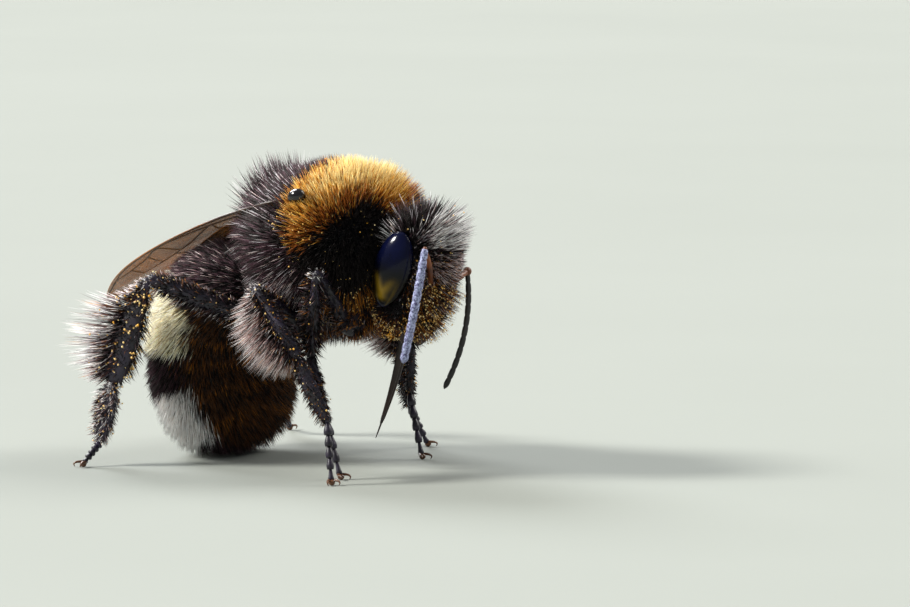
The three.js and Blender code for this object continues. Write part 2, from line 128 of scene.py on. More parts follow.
@dataclass(frozen=True)
class Seat:
    """The own frame of a rounded part: ahead, left and up from its middle.

    Args:
        middle: the part's middle around the thorax.
        pitch: degrees by which its nose is turned up.
    """

    middle: Point
    pitch: float

    @property
    def turn(self) -> Matrix:
        """The turn from the part's own frame to the bee's."""
        return Matrix.Rotation(-math.radians(self.pitch), 3, "Y")

    def place(self, ahead: float, left: float, up: float) -> Vector:
        """A place given in the part's own frame."""
        return Vector(self.middle) + self.turn @ Vector((ahead, left, up))

    def local(self, points: Array) -> Array:
        """Points around the thorax, read in the part's own frame."""
        return (points - np.array(self.middle)) @ np.array(self.turn)

    def direction(self, ahead: Array, left: Array, up: Array) -> Array:
        """Directions given in the part's own frame."""
        return np.stack(np.broadcast_arrays(ahead, left, up), axis=-1) @ np.array(self.turn).T

    def unwrap(self, points: Array) -> Array:
        """Places on a ball's map whose poles are the part's two sides.

        Args:
            points: places near the part's surface.

        Returns:
            One (u, v) row for each point, from 0 to 1.
        """
        p = unit(self.local(points))
        around = np.arctan2(-p[:, 0], -p[:, 2]) / (2 * math.pi) + 0.5
        across = np.arcsin(np.clip(p[:, 1], -1, 1)) / math.pi + 0.5
        return np.stack([around, across], axis=1)


THORAX = Seat(middle=(0.0, 0.0, 0.0), pitch=20.0)
HEAD = Seat(middle=(3.35, 0.0, -0.95), pitch=-13.0)


@dataclass(frozen=True)
class AbdomenLine:
    """The bent middle line of the abdomen, from the waist to the tip."""

    corners: tuple[Point, ...] = (
        (-2.3, 0.0, -1.45),
        (-5.3, 0.0, -1.3),
        (-5.5, 0.0, -4.3),
        (-3.9, 0.0, -6.88),
    )
    steps: int = 240

    def walk(self) -> tuple[Array, Array, Array]:
        """The line in even steps.

        Returns:
            The points, the directions and the places from 0 to 1.
        """
        points = double_bow(np.linspace(0, 1, 4 * self.steps), *self.corners)
        run = np.concatenate([[0], np.cumsum(np.linalg.norm(np.diff(points, axis=0), axis=1))])
        place = np.linspace(0, 1, self.steps)
        even = np.stack([np.interp(place * run[-1], run, points[:, i]) for i in range(3)], axis=1)
        return even, unit(np.gradient(even, axis=0)), place

    def find(self, points: Array) -> tuple[Array, Array, Array, Array]:
        """Where points lie along and around the line.

        Args:
            points: places near the abdomen.

        Returns:
            The place from 0 to 1, how far each faces the back (1) or the belly (-1), the sideways
            share, and the direction of the line there.
        """
        line, ahead, place = self.walk()
        best = np.empty(len(points), int)
        for start in range(0, len(points), BATCH):
            away = points[start : start + BATCH, None, :] - line[None]
            best[start : start + BATCH] = np.argmin((away**2).sum(-1), axis=1)
        out = unit(points - line[best])
        back = -np.cross(ahead[best], np.array([0.0, 1.0, 0.0]))
        return place[best], (out * unit(back)).sum(1), out[:, 1], ahead[best]


ABDOMEN = AbdomenLine()


def swell(place: float, squareness: float) -> float:
    """Half width of a rounded body at a place from -1 to 1, as a share of its widest."""
    return max(0.0, 1 - abs(place) ** squareness) ** (1 / squareness)


# ---------------------------------------------------------------- the bench


class Bench:
    """The few things done to every piece."""

    @staticmethod
    def clear() -> None:
        """Deselects everything."""
        if bpy.context.object and bpy.context.object.mode != "OBJECT":
            bpy.ops.object.mode_set(mode="OBJECT")
        bpy.ops.object.select_all(action="DESELECT")

    @staticmethod
    def pick(obj: Piece) -> None:
        """Makes one object the only selected and active one."""
        Bench.clear()
        obj.select_set(True)
        bpy.context.view_layer.objects.active = obj

    @staticmethod
    def lump(
        at: Sequence[float], half: Point, turn: Matrix | None = None, segments: int = 32, rings: int = 20
    ) -> Piece:
        """A ball drawn out to an egg.

        Args:
            at: its middle.
            half: its half sizes.
            turn: the turn of its axes.
            segments: faces around.
            rings: faces from pole to pole.

        Returns:
            The object, with its place in its mesh.
        """
        Bench.clear()
        angles = (turn or Matrix.Identity(3)).to_euler()
        bpy.ops.mesh.primitive_uv_sphere_add(
            segments=segments, ring_count=rings, radius=1.0, location=at, rotation=angles, scale=half
        )
        bpy.ops.object.transform_apply(location=True, rotation=True, scale=True)
        return bpy.context.object

    @staticmethod
    def bead(at: Sequence[float], *half: float) -> Piece:
        """A small ball with few faces; one half size, or three."""
        return Bench.lump(at, half if len(half) > 1 else half * 3, None, 16, 10)

    @staticmethod
    @contextmanager
    def shaping(obj: Piece, test: Callable[[Vector], bool]) -> Iterator[None]:
        """Edit mode with the points chosen that pass a test.

        Args:
            obj: the piece.
            test: says whether a point at that place is chosen.
        """
        Bench.pick(obj)
        bpy.ops.object.mode_set(mode="EDIT")
        bpy.ops.mesh.select_mode(type="VERT")
        bpy.ops.mesh.select_all(action="DESELECT")
        bpy.ops.object.mode_set(mode="OBJECT")
        for v in obj.data.vertices:
            v.select = test(v.co)
        bpy.ops.object.mode_set(mode="EDIT")
        yield
        bpy.ops.object.mode_set(mode="OBJECT")

    @staticmethod
    def sweep(points: Sequence[Sequence[float]], radii: Sequence[float], sides: int) -> Piece:
        """A round rod along a line, with its own radius at each point.

        Args:
            points: the line.
            radii: one for each point.
            sides: faces around, in fours.

        Returns:
            The closed rod as a mesh.
        """
        Bench.clear()
        line = bpy.data.curves.new("rod", "CURVE")
        line.dimensions = "3D"
        line.bevel_depth = 1.0
        line.bevel_resolution = sides // 4 - 1
        line.use_fill_caps = True
        line.twist_mode = "MINIMUM"
        spline = line.splines.new("POLY")
        spline.points.add(len(points) - 1)
        for knot, at, radius in zip(spline.points, points, radii):
            knot.co = (*at, 1.0)
            knot.radius = radius
        obj = bpy.data.objects.new("rod", line)
        bpy.context.scene.collection.objects.link(obj)
        Bench.pick(obj)
        bpy.ops.object.convert(target="MESH")
        obj = bpy.context.object
        Bench.mend(obj, WELD)
        return obj

    @staticmethod
    def mend(obj: Piece, gap: float) -> None:
        """Merges points closer than a gap and turns the faces outwards."""
        with Bench.shaping(obj, lambda co: True):
            bpy.ops.mesh.remove_doubles(threshold=gap)
            bpy.ops.mesh.select_all(action="SELECT")
            bpy.ops.mesh.normals_make_consistent(inside=False)

    @staticmethod
    def flatten(obj: Piece, middle: Vector, way: Vector, share: float) -> None:
        """Thins a piece along one direction about its middle."""
        away = Matrix.Translation(middle)
        obj.data.transform(away @ Matrix.Scale(share, 4, way) @ away.inverted())

    @staticmethod
    def join(parts: Sequence[Piece]) -> Piece:
        """Joins pieces into the first one."""
        Bench.clear()
        for part in parts:
            part.select_set(True)
        bpy.context.view_layer.objects.active = parts[0]
        if len(parts) > 1:
            bpy.ops.object.join()
        return parts[0]

    @staticmethod
    def apply(obj: Piece, kind: str, **values: object) -> None:
        """Adds a modifier with these values and applies it."""
        Bench.pick(obj)
        modifier = obj.modifiers.new(kind.lower(), kind)
        for name, value in values.items():
            setattr(modifier, name, value)
        bpy.ops.object.modifier_apply(modifier=modifier.name)

    @staticmethod
    def settle(obj: Piece, name: str, material: Finish, slot: str, replaced: Sequence[str] = ()) -> None:
        """Brings a piece from the bench to the frame and hands it over.

        Args:
            obj: the piece, in millimetres around the thorax.
            name: its name.
            material: its finish.
            slot: the record's slot for it; not used.
            replaced: the solids that it stands for.
        """
        obj.data.transform(Matrix.Translation(BEE_MIDDLE) @ Matrix.Scale(MM, 4))
        obj.data.update()
        obj.name = obj.data.name = name
        obj.data.materials.clear()
        obj.data.materials.append(material)
        Bench.pick(obj)
        bpy.ops.object.shade_smooth()
        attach(obj, "root")
        if replaced:
            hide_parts(*replaced)
        log.info("%s: %d faces", name, len(obj.data.polygons))


def bee_middle() -> Vector:
    """The middle of the thorax in the frame, found from the two eyes' solids."""
    corners = [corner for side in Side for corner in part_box(f"eye_{side.word}")]
    low = Vector([min(c[i] for c in corners) for i in range(3)])
    high = Vector([max(c[i] for c in corners) for i in range(3)])
    return (low + high) / 2 - HEAD.place(0.05, 0.0, 0.55) * MM


BEE_MIDDLE = bee_middle()


# ---------------------------------------------------------------- finishes


def tone(code: str) -> tuple[float, float, float]:
    """A colour written as six hex digits, as linear light."""
    parts = [int(code[i : i + 2], 16) / 255 for i in (0, 2, 4)]
    return tuple(c / 12.92 if c <= 0.04045 else ((c + 0.055) / 1.055) ** 2.4 for c in parts)


class Nodes:
    """A short way to lay out a material's nodes."""

    def __init__(self, tree: bpy.types.NodeTree) -> None:
        """Starts on an empty tree."""
        self.tree = tree
        tree.nodes.clear()

    def add(self, kind: str, **inputs: object) -> bpy.types.Node:
        """Adds a node and sets or links its inputs.

        Args:
            kind: the node's type.
            inputs: values or sockets, by input name with _ for a space, or by property name.

        Returns:
            The node.
        """
        node = self.tree.nodes.new(kind)
        for key, value in inputs.items():
            if hasattr(node, key):
                setattr(node, key, value)
        for key, value in inputs.items():
            if hasattr(node, key):
                continue
            name = key.replace("_", " ")
            index = name.rsplit(" ", 1)[-1]
            socket = node.inputs[int(index)] if name.startswith("in ") else node.inputs[name]
            if isinstance(value, Socket):
                self.tree.links.new(value, socket)
            else:
                socket.default_value = value
        return node

    def group(self, tree: bpy.types.NodeTree, **inputs: object) -> bpy.types.Node:
        """Places a shader node group with its own values."""
        node = self.tree.nodes.new("ShaderNodeGroup")
        node.node_tree = tree
        for key, value in inputs.items():
            node.inputs[key].default_value = value
        return node

    def mottle(self, first: Colour, second: Colour, **inputs: float) -> bpy.types.Node:
        """Blotches of two colours, with a grain."""
        return self.group(MOTTLE, Colour=(*first, 1), Second=(*second, 1), **inputs)

    def times(self, first: Socket, second: Socket) -> Socket:
        """Two colours multiplied."""
        mixed = self.add("ShaderNodeMixRGB", blend_type="MULTIPLY", Fac=1.0, Color1=first, Color2=second)
        return mixed.outputs["Color"]

    def painted(self) -> Socket:
        """The colour that the mesh carries at each point."""
        return self.add("ShaderNodeVertexColor", layer_name=PAINT).outputs["Color"]

    def bumped(self, height: Socket, strength: float, rise: float) -> Socket:
        """The normal of a surface whose bumps rise by so many metres."""
        bump = self.add("ShaderNodeBump", Strength=strength, Distance=rise, Height=height)
        return bump.outputs["Normal"]

    def surface(self, **inputs: object) -> None:
        """The surface shader and the output, wired together."""
        shader = self.add("ShaderNodeBsdfPrincipled", **inputs)
        self.add("ShaderNodeOutputMaterial", Surface=shader.outputs["BSDF"])

    def ramp(self, factor: Socket, *stops: tuple[float, Colour]) -> Socket:
        """A colour ramp with these stops; returns its colour."""
        node = self.add("ShaderNodeValToRGB", Fac=factor)
        elements = node.color_ramp.elements
        while len(elements) < len(stops):
            elements.new(0.5)
        for element, (place, colour) in zip(elements, stops):
            element.position = place
            element.color = (*colour, 1.0)
        return node.outputs["Color"]


def finish(name: str) -> tuple[Finish, Nodes]:
    """A new material and its empty node layer."""
    material = bpy.data.materials.new(name)
    material.use_nodes = True
    return material, Nodes(material.node_tree)


def effect(
    name: str, inputs: dict[str, tuple[str, object]], outputs: dict[str, str]
) -> tuple[bpy.types.NodeTree, Nodes]:
    """A new shader node group with named sockets.

    Args:
        name: the group's name.
        inputs: for each input its socket type and first value.
        outputs: for each output its socket type.

    Returns:
        The group and its node layer.
    """
    tree = bpy.data.node_groups.new(name, "ShaderNodeTree")
    for label, (kind, value) in inputs.items():
        socket = tree.interface.new_socket(label, in_out="INPUT", socket_type=kind)
        socket.default_value = value
    for label, kind in outputs.items():
        tree.interface.new_socket(label, in_out="OUTPUT", socket_type=kind)
    return tree, Nodes(tree)


def mottle_effect() -> bpy.types.NodeTree:
    """Blotches of light and dark over a colour, with a fine grain for the bump."""
    tree, nodes = effect(
        "mottle",
        {
            "Colour": ("NodeSocketColor", (0.5, 0.5, 0.5, 1)),
            "Second": ("NodeSocketColor", (0.5, 0.5, 0.5, 1)),
            "Scale": ("NodeSocketFloat", 1000.0),
            "Grain": ("NodeSocketFloat", 20000.0),
        },
        {"Colour": "NodeSocketColor", "Height": "NodeSocketFloat"},
    )
    given = nodes.add("NodeGroupInput")
    where = nodes.add("ShaderNodeTexCoord").outputs["Object"]
    blotch = nodes.add("ShaderNodeTexNoise", Vector=where, Scale=given.outputs["Scale"], Detail=4.0)
    share = nodes.ramp(blotch.outputs["Fac"], (0.35, (0, 0, 0)), (0.7, (1, 1, 1)))
    first, second = given.outputs["Colour"], given.outputs["Second"]
    mixed = nodes.add("ShaderNodeMixRGB", Fac=share, Color1=first, Color2=second)
    grain = nodes.add("ShaderNodeTexNoise", Vector=where, Scale=given.outputs["Grain"], Detail=3.0)
    out = nodes.add("NodeGroupOutput")
    tree.links.new(mixed.outputs["Color"], out.inputs["Colour"])
    tree.links.new(grain.outputs["Fac"], out.inputs["Height"])
    return tree


def pit_effect() -> bpy.types.NodeTree:
    """Small close cells, as of facets or of the pits in a shell."""
    tree, nodes = effect(
        "pits", {"Scale": ("NodeSocketFloat", 20000.0)}, {"Height": "NodeSocketFloat"}
    )
    given = nodes.add("NodeGroupInput")
    where = nodes.add("ShaderNodeTexCoord").outputs["Object"]
    cells = nodes.add("ShaderNodeTexVoronoi", Vector=where, Scale=given.outputs["Scale"])
    out = nodes.add("NodeGroupOutput")
    tree.links.new(cells.outputs["Distance"], out.inputs["Height"])
    return tree


MOTTLE = mottle_effect()
PITS = pit_effect()


@dataclass(frozen=True)
class Shell:
    """Hard, faintly pitted shell.

    Args:
        name: the material's name.
        colour: its main colour.
        second: the colour of its blotches.
        roughness: how dull it is.
        coat: the share of clear gloss over it.
        scale: blotches in a metre.
        bump: the height of its pits, in metres.
    """

    name: str
    colour: str
    second: str
    roughness: float = 0.34
    coat: float = 0.3
    scale: float = 1400.0
    bump: float = 0.000006

    def make(self) -> Finish:
        """Builds the material."""
        material, nodes = finish(self.name)
        mottle = nodes.mottle(tone(self.colour), tone(self.second), Scale=self.scale)
        pits = nodes.group(PITS, Scale=16000.0)
        grain, cells = mottle.outputs["Height"], pits.outputs["Height"]
        height = nodes.add("ShaderNodeMath", operation="ADD", in_0=grain, in_1=cells)
        nodes.surface(
            Base_Color=mottle.outputs["Colour"],
            Roughness=self.roughness,
            Coat_Weight=self.coat,
            Coat_Roughness=0.12,
            Normal=nodes.bumped(height.outputs[0], 0.55, self.bump),
        )
        return material


@dataclass(frozen=True)
class MarkedSkin:
    """The body's own skin, which carries the coat's markings, much darker."""

    name: str = "body_skin"

    def make(self) -> Finish:
        """Builds the material."""
        material, nodes = finish(self.name)
        mottle = nodes.mottle((0.16, 0.15, 0.15), (0.3, 0.28, 0.28), Scale=2500.0)
        pits = nodes.group(PITS, Scale=14000.0)
        nodes.surface(
            Base_Color=nodes.times(nodes.painted(), mottle.outputs["Colour"]),
            Roughness=0.55,
            Normal=nodes.bumped(pits.outputs["Height"], 0.5, 0.00001),
        )
        return material


@dataclass(frozen=True)
class Fur:
    """Hair whose colour is on each strand, with a soft sheen.

    Args:
        name: the material's name.
        roughness: how dull the strands are.
        sheen: the share of soft sheen.
    """

    name: str
    roughness: float = 0.42
    sheen: float = 0.04

    def make(self) -> Finish:
        """Builds the material."""
        material, nodes = finish(self.name)
        where = nodes.add("ShaderNodeTexCoord").outputs["Object"]
        patch = nodes.add("ShaderNodeTexNoise", Vector=where, Scale=1500.0, Detail=3.0).outputs["Fac"]
        light = nodes.ramp(patch, (0.3, (0.8, 0.8, 0.8)), (0.7, (1.15, 1.15, 1.15)))
        smooth, rough = self.roughness - 0.06, self.roughness + 0.1
        dull = nodes.add("ShaderNodeMapRange", Value=patch, To_Min=smooth, To_Max=rough)
        nodes.surface(
            Base_Color=nodes.times(nodes.painted(), light),
            Roughness=dull.outputs["Result"],
            Specular_IOR_Level=0.16,
            Sheen_Weight=self.sheen,
            Sheen_Roughness=0.4,
        )
        return material


@dataclass(frozen=True)
class EyeGloss:
    """The compound eye, with fine facets; its colour is dark with a painted reflection, dark blue above and
    greenish gold in its lower half.
    """

    name: str = "eye_gloss"

    def make(self) -> Finish:
        """Builds the material."""
        material, nodes = finish(self.name)
        mottle = nodes.mottle((0.75, 0.75, 0.75), (1.2, 1.2, 1.2), Scale=2200.0)
        facets = nodes.group(PITS, Scale=36000.0)
        nodes.surface(
            Base_Color=nodes.times(nodes.painted(), mottle.outputs["Colour"]),
            Roughness=0.16,
            Specular_IOR_Level=0.17,
            Coat_Weight=0.06,
            Coat_Roughness=0.03,
            Normal=nodes.bumped(facets.outputs["Height"], 0.12, 0.000004),
        )
        return material


@dataclass(frozen=True)
class Membrane:
    """Smoky, see-through wing."""

    name: str = "wing_membrane"

    def make(self) -> Finish:
        """Builds the material."""
        material, nodes = finish(self.name)
        mottle = nodes.mottle(tone("b4783e"), tone("7a4e28"), Scale=700.0, Grain=30000.0)
        grain = mottle.outputs["Height"]
        alpha = nodes.add(
            "ShaderNodeMapRange", Value=grain, From_Min=0.3, From_Max=0.7, To_Min=0.62, To_Max=0.82
        )
        nodes.surface(
            Base_Color=mottle.outputs["Colour"],
            Roughness=0.26,
            Alpha=alpha.outputs["Result"],
            Normal=nodes.bumped(grain, 0.5, 0.000006),
        )
        return material


@dataclass(frozen=True)
class Grain:
    """Golden grains of pollen."""

    name: str = "pollen"

    def make(self) -> Finish:
        """Builds the material."""
        material, nodes = finish(self.name)
        mottle = nodes.mottle(tone("ffb838"), tone("fff2b8"), Scale=5000.0)
        nodes.surface(Base_Color=mottle.outputs["Colour"], Roughness=0.5)
        return material


# ---------------------------------------------------------------- colours of the coat


@dataclass(frozen=True)
class Shade:
    """The colour of one kind of hair from root to tip; its darker root is partly its own colour, partly
    painted shade.
    """

    root: str
    shaft: str
    tip: str

    def levels(self, count: int) -> Array:
        """The colour at each of count levels from root to tip."""
        stops = np.array([tone(self.root), tone(self.shaft), tone(self.tip)])
        at = np.linspace(0, 2, count)
        return np.stack([np.interp(at, [0, 1, 2], stops[:, i]) for i in range(3)], axis=1)


class Kind(Enum):
    """The kinds of hair on the bee."""

    BLACK = Shade("040303", "0b0808", "1e1513")
    # PLUM's mauve tips are partly the hair's own tint, partly painted sheen.
    PLUM = Shade("090507", "1f1118", "5c3c48")
    GOLD = Shade("3a1f06", "b8741a", "ecb452")
    # The next kind is gold hair painted paler, a painted highlight where light falls on the collar's top.
    PALE = Shade("6b4412", "d9a244", "fbe29c")
    ORANGE = Shade("180b04", "6a330a", "bc6c1e")
    CREAM = Shade("c4ac74", "fff0c6", "fffbe6")
    # WHITE is the own colour of the tail and the leg fringes; on the crown, cheeks and knees it is a painted
    # highlight.
    WHITE = Shade("beb2ae", "faf2ee", "ffffff")
    # SILVER and ROSY have near-white tips: pale hair on the legs, mostly painted glints and sheen on head,
    # thorax and abdomen.
    SILVER = Shade("0c090a", "46333a", "f4eef4")
    ROSY = Shade("1e1414", "a4807c", "fae8e6")
    BROWN = Shade("120a06", "38200f", "7c4c22")
    DUSTED = Shade("1a0d05", "7a4210", "e09230")


KINDS = list(Kind)


def choose(rng: Chance, shares: dict[Kind, Array]) -> Array:
    """Draws a kind for each hair.

    Args:
        rng: the source of chance.
        shares: for each kind its weight at each hair.

    Returns:
        The index of each hair's kind in KINDS.
    """
    weights = np.maximum(np.stack(np.broadcast_arrays(*shares.values()), axis=1), 1e-6)
    edges = np.cumsum(weights / weights.sum(1, keepdims=True), axis=1)
    drawn = (rng.random(len(weights))[:, None] > edges).sum(1)
    return np.array([KINDS.index(k) for k in shares])[np.minimum(drawn, len(shares) - 1)]


def layers(rng: Chance, count: int, share: float) -> tuple[Array, Array, Array]:
    """Splits hairs into a short undercoat and longer, stouter guard hairs.

    Args:
        rng: the source of chance.
        count: the number of hairs.
        share: the share of guard hairs.

    Returns:
        Which are guard hairs, and what to multiply lengths and widths by.
    """
    guard = rng.random(count) < share
    length = np.where(guard, rng.uniform(0.95, 1.25, count), rng.uniform(0.5, 0.98, count))
    return guard, length, np.where(guard, 1.35, 0.95)


class Marking:
    """Where each colour of coat lies. Skin and hair both ask here."""

    @staticmethod
    def thorax(points: Array) -> dict[Kind, Array]:
        """What grows on the thorax.

        Args:
            points: places on its coat.

        Returns:
            For each kind its share at each place.
        """
        x, y, z = THORAX.local(points).T
        ahead = x - 0.42 - 0.72 * ramp(z, 1.9, 3.2)
        above = z - 0.2 - 0.52 * np.clip(x - 1.1, 0, 2) * ramp(np.abs(y), 0.4, 1.5)
        collar = ramp(ahead, -0.22, 0.28) * ramp(above, -0.45, 0.35)
        deep = ramp(-np.minimum(ahead + 0.4, above), -1.0, -0.1) * collar
        # low and rear mark where near-white tips paint glints and sheen on the dark hair of the lower side
        # and the tuft's rear.
        low = ramp(-z, 0.0, 1.0) * ramp(z, -2.8, -2.2) * ramp(-x, -0.7, 0.2)
        # pale is mostly a painted highlight: the collar's top front painted paler where light falls.
        pale = 0.08 + 1.1 * ramp(x, 0.9, 2.0) * ramp(z, 1.0, 2.1)
        rear = ramp(-x, 2.0, 2.8) * ramp(z, 0.4, 1.2)
        dark = 1 - collar
        return {
            Kind.GOLD: (collar - deep * 0.85) * (1 - pale),
            Kind.PALE: (collar - deep * 0.85) * pale,
            Kind.ORANGE: deep * 0.85 + 0.02 * collar,
            Kind.BLACK: dark * (0.66 - 0.3 * low),
            Kind.PLUM: dark * 0.35 * ramp(-x, -1.0, 0.0),
            Kind.SILVER: dark * (0.03 + 0.14 * low) * ramp(-x, -0.9, -0.1),
            Kind.ROSY: dark * (0.02 + 0.26 * low + 0.2 * rear) * ramp(-x, -0.9, 0.0),
            Kind.DUSTED: dark * 0.7 * ramp(x, 0.2, 1.2) * ramp(-z, 1.6, 2.3),
        }

    @staticmethod
    def abdomen(points: Array) -> dict[Kind, Array]:
        """What grows on the abdomen; as for the thorax."""
        place, back, _, _ = ABDOMEN.find(points)
        upper = ramp(back, -0.35, 0.0)
        band = ramp(place, 0.29, 0.325) * ramp(-place, -0.55, -0.515) * upper
        tail = ramp(place, 0.685, 0.725) * ramp(-place, -0.965, -0.93) * upper
        stripes = np.sin(place * 19.0)
        fringe = (1 - upper) * (0.3 + 0.7 * stripes**6)
        rest = np.clip(1 - band - tail, 0, 1)
        return {
            Kind.CREAM: band,
            Kind.WHITE: tail,
            Kind.BLACK: rest * 0.6,
            # PLUM's tips on the back are partly own tint, partly painted sheen; ROSY near the waist is
            # painted sheen.
            Kind.PLUM: rest * 0.4 * upper,
            Kind.ROSY: rest * 0.07 * upper * ramp(-place, -0.4, -0.2),
            Kind.BROWN: rest * fringe * 1.5,
            Kind.DUSTED: rest * (1 - upper) * 0.35 * stripes**12,
        }

    @staticmethod
    def head(points: Array) -> dict[Kind, Array]:
        """What grows on the head; as for the thorax."""
        x, y, z = HEAD.local(points).T
        face = ramp(x, 0.45, 0.95) * ramp(-z, -0.5, 0.3)
        wide = np.abs(y)
        crown = ramp(z, 1.3, 2.0) * ramp(x, 0.0, 0.6) * ramp(-wide, -1.5, -0.8)
        cheek = ramp(-x, 0.45, 0.75) * ramp(wide, 0.8, 1.2) * ramp(z, 0.9, 1.2) * ramp(-z, -1.9, -1.5)
        bridge = ramp(x, 0.6, 1.0) * ramp(z, 0.05, 0.4) * ramp(-z, -1.5, -1.0)
        chin = ramp(-z, 0.9, 1.6)
        # This share and the SILVER, WHITE and ROSY shares of crown, cheek and bridge are painted highlights:
        # pale tips where light falls on black hair.
        crown_glint = 4.0 * crown * ramp(x, 0.1, 0.6) * ramp(z, 1.25, 1.7) * ramp(-wide, -1.2, -0.4)
        return {
            Kind.BLACK: 0.8 - 0.2 * face - 0.3 * bridge,
            Kind.PLUM: 0.15,
            Kind.SILVER: 0.02 + 0.6 * crown + 0.8 * cheek,
            Kind.WHITE: crown_glint + 0.9 * cheek,
            Kind.DUSTED: 0.35 * face + 0.15 * bridge + 0.3 * chin,
            Kind.ORANGE: 0.25 * face + 0.5 * chin * ramp(-x, -0.9, -0.2),
            Kind.ROSY: 0.6 * bridge + 0.7 * crown * ramp(x, 0.0, 0.6) + 0.9 * cheek,
        }


# ---------------------------------------------------------------- hair


# Radii of the hairs at their roots.
HEAD_HAIR, THORAX_HAIR, ABDOMEN_HAIR, LEG_HAIR = 0.0135, 0.015, 0.0145, 0.0135


@dataclass
class Roots:
    """Where hairs grow: places on a surface, and what way it faces there."""

    points: Array
    normals: Array

    def keep(self, mask: Array) -> "Roots":
        """Only the roots that a mask or a list of numbers keeps."""
        return Roots(self.points[mask], self.normals[mask])

    @staticmethod
    def sow(obj: Piece, thick: Callable[[Array], Array], rng: Chance) -> "Roots":
        """Scatters roots over a mesh.

        Args:
            obj: the surface, in millimetres.
            thick: hairs to the square millimetre at given places.
            rng: the source of chance.

        Returns:
            The roots.
        """
        mesh = obj.data
        mesh.calc_loop_triangles()
        corners = np.empty(len(mesh.loop_triangles) * 3, np.int32)
        mesh.loop_triangles.foreach_get("vertices", corners)
        corners = corners.reshape(-1, 3)
        co, no = points_of(obj), points_of(obj, "normal")
        a, b, c = (co[corners[:, i]] for i in range(3))
        share = np.linalg.norm(np.cross(b - a, c - a), axis=1) / 2 * thick((a + b + c) / 3)
        count = int(round(share.sum()))
        face = rng.choice(len(corners), count, p=share / share.sum())
        u, v = rng.random((2, count))
        over = u + v > 1
        u[over], v[over] = 1 - u[over], 1 - v[over]
        mix = np.stack([1 - u - v, u, v], axis=1)[:, :, None]
        return Roots((co[corners[face]] * mix).sum(1), unit((no[corners[face]] * mix).sum(1)))


@dataclass
class Hair:
    """Many hairs that share a piece, in numbers to each one.

    Args:
        roots: where they grow.
        lean: the way each leans, added to the way the surface faces.
        length: their lengths.
        width: their radii at the root.
        kind: the index of each one's kind.
        places: their places on the coat's map.
        wild: how far each strays by chance.
        clump: hairs in one tuft.
        pull: how strongly a tuft's tips draw together.
        bend: how much the tip turns further to the lean.
    """

    roots: Roots
    lean: Array
    length: Array
    width: Array
    kind: Array
    places: Array
    wild: float
    clump: int
    pull: float
    bend: float = 0.35

    def lines(self, rng: Chance) -> tuple[Array, Array, Array]:
        """Lays out the hairs, drawn together in tufts.

        Args:
            rng: the source of chance.

        Returns:
            The start, middle control and tip of each.
        """
        count = len(self.length)
        stray = rng.normal(0, self.wild, (count, 3))
        way = unit(self.roots.normals + self.lean + stray)
        late = unit(way + self.lean * self.bend + rng.normal(0, self.wild * 0.5, (count, 3)))
        long = self.length[:, None]
        root = self.roots.points
        middle = root + way * long * 0.5
        tip = middle + late * long * 0.5
        if count > 2 * self.clump:
            heads = rng.choice(count, count // self.clump, replace=False)
            tree = KDTree(len(heads))
            for i, h in enumerate(heads):
                tree.insert(root[h], i)
            tree.balance()
            near = heads[[tree.find(p)[1] for p in root]]
            pull = self.pull * rng.uniform(0.4, 1.3, (count, 1))
            target = tip[near] + (root - root[near]) * 0.25
            reach = root + unit(target - root) * long
            tip = tip + (reach - tip) * np.clip(pull, 0, 0.9)
            middle = middle + (root + (tip - root) * 0.5 - middle) * 0.3
        return root - self.roots.normals * 0.03, middle, tip

    def build(self, name: str, rng: Chance) -> Piece:
        """Makes the hairs as one mesh.

        Args:
            name: the piece's name.
            rng: the source of chance.

        Returns:
            The object, in millimetres around the thorax.
        """
        start, middle, tip = self.lines(rng)
        count = len(start)
        share = np.linspace(0, 1, RINGS + 1)
        middle[:, 2] = np.maximum(middle[:, 2], FLOOR + 0.05)
        tip[:, 2] = np.maximum(tip[:, 2], FLOOR + 0.03)
        line = np.stack([bow(start, middle, tip, t) for t in share], axis=1)
        along = unit(tip - start)
        across = unit(np.cross(along, unit(rng.normal(0, 1, (count, 3)))))
        third = np.cross(along, across)
        thickness = self.width[:, None] * (1 - share[:-1] ** 1.6 * 0.75)[None]
        verts = np.empty((count, STRAND, 3), np.float32)
        for side in range(3):
            turn = 2 * math.pi * side / 3
            out = across * math.cos(turn) + third * math.sin(turn)
            verts[:, side : 3 * RINGS : 3] = line[:, :RINGS] + out[:, None] * thickness[:, :, None]
        verts[:, -1] = line[:, -1]
        level = np.array([r for r in range(RINGS) for _ in range(3)] + [RINGS])
        colours = np.stack([k.value.levels(RINGS + 1) for k in KINDS])[self.kind][:, level]
        light = np.exp(rng.normal(0, TINT, (count, 1, 1)))
        uv = np.empty((count, STRAND, 2), np.float32)
        uv[:, :, 0] = self.places[:, :1] + PATCH * (np.array([0, 0.5, 1] * RINGS + [0.5]) - 0.5)[None]
        uv[:, :, 1] = self.places[:, 1:] + PATCH * (level / RINGS - 0.5)[None]
        return copies_mesh(name, verts, self.faces(), np.clip(colours * light, 0, 1), np.clip(uv, 0.0, 1.0))

    @staticmethod
    def faces() -> list[tuple[int, int, int]]:
        """The faces of one hair: its root, its sides and its point."""
        faces = [(0, 2, 1)]
        for s in range(3):
            for r in range(RINGS - 1):
                a, b = 3 * r + s, 3 * r + (s + 1) % 3
                faces += [(a, b, b + 3), (a, b + 3, a + 3)]
        last = 3 * RINGS - 3
        return faces + [(last + s, last + (s + 1) % 3, last + 3) for s in range(3)]


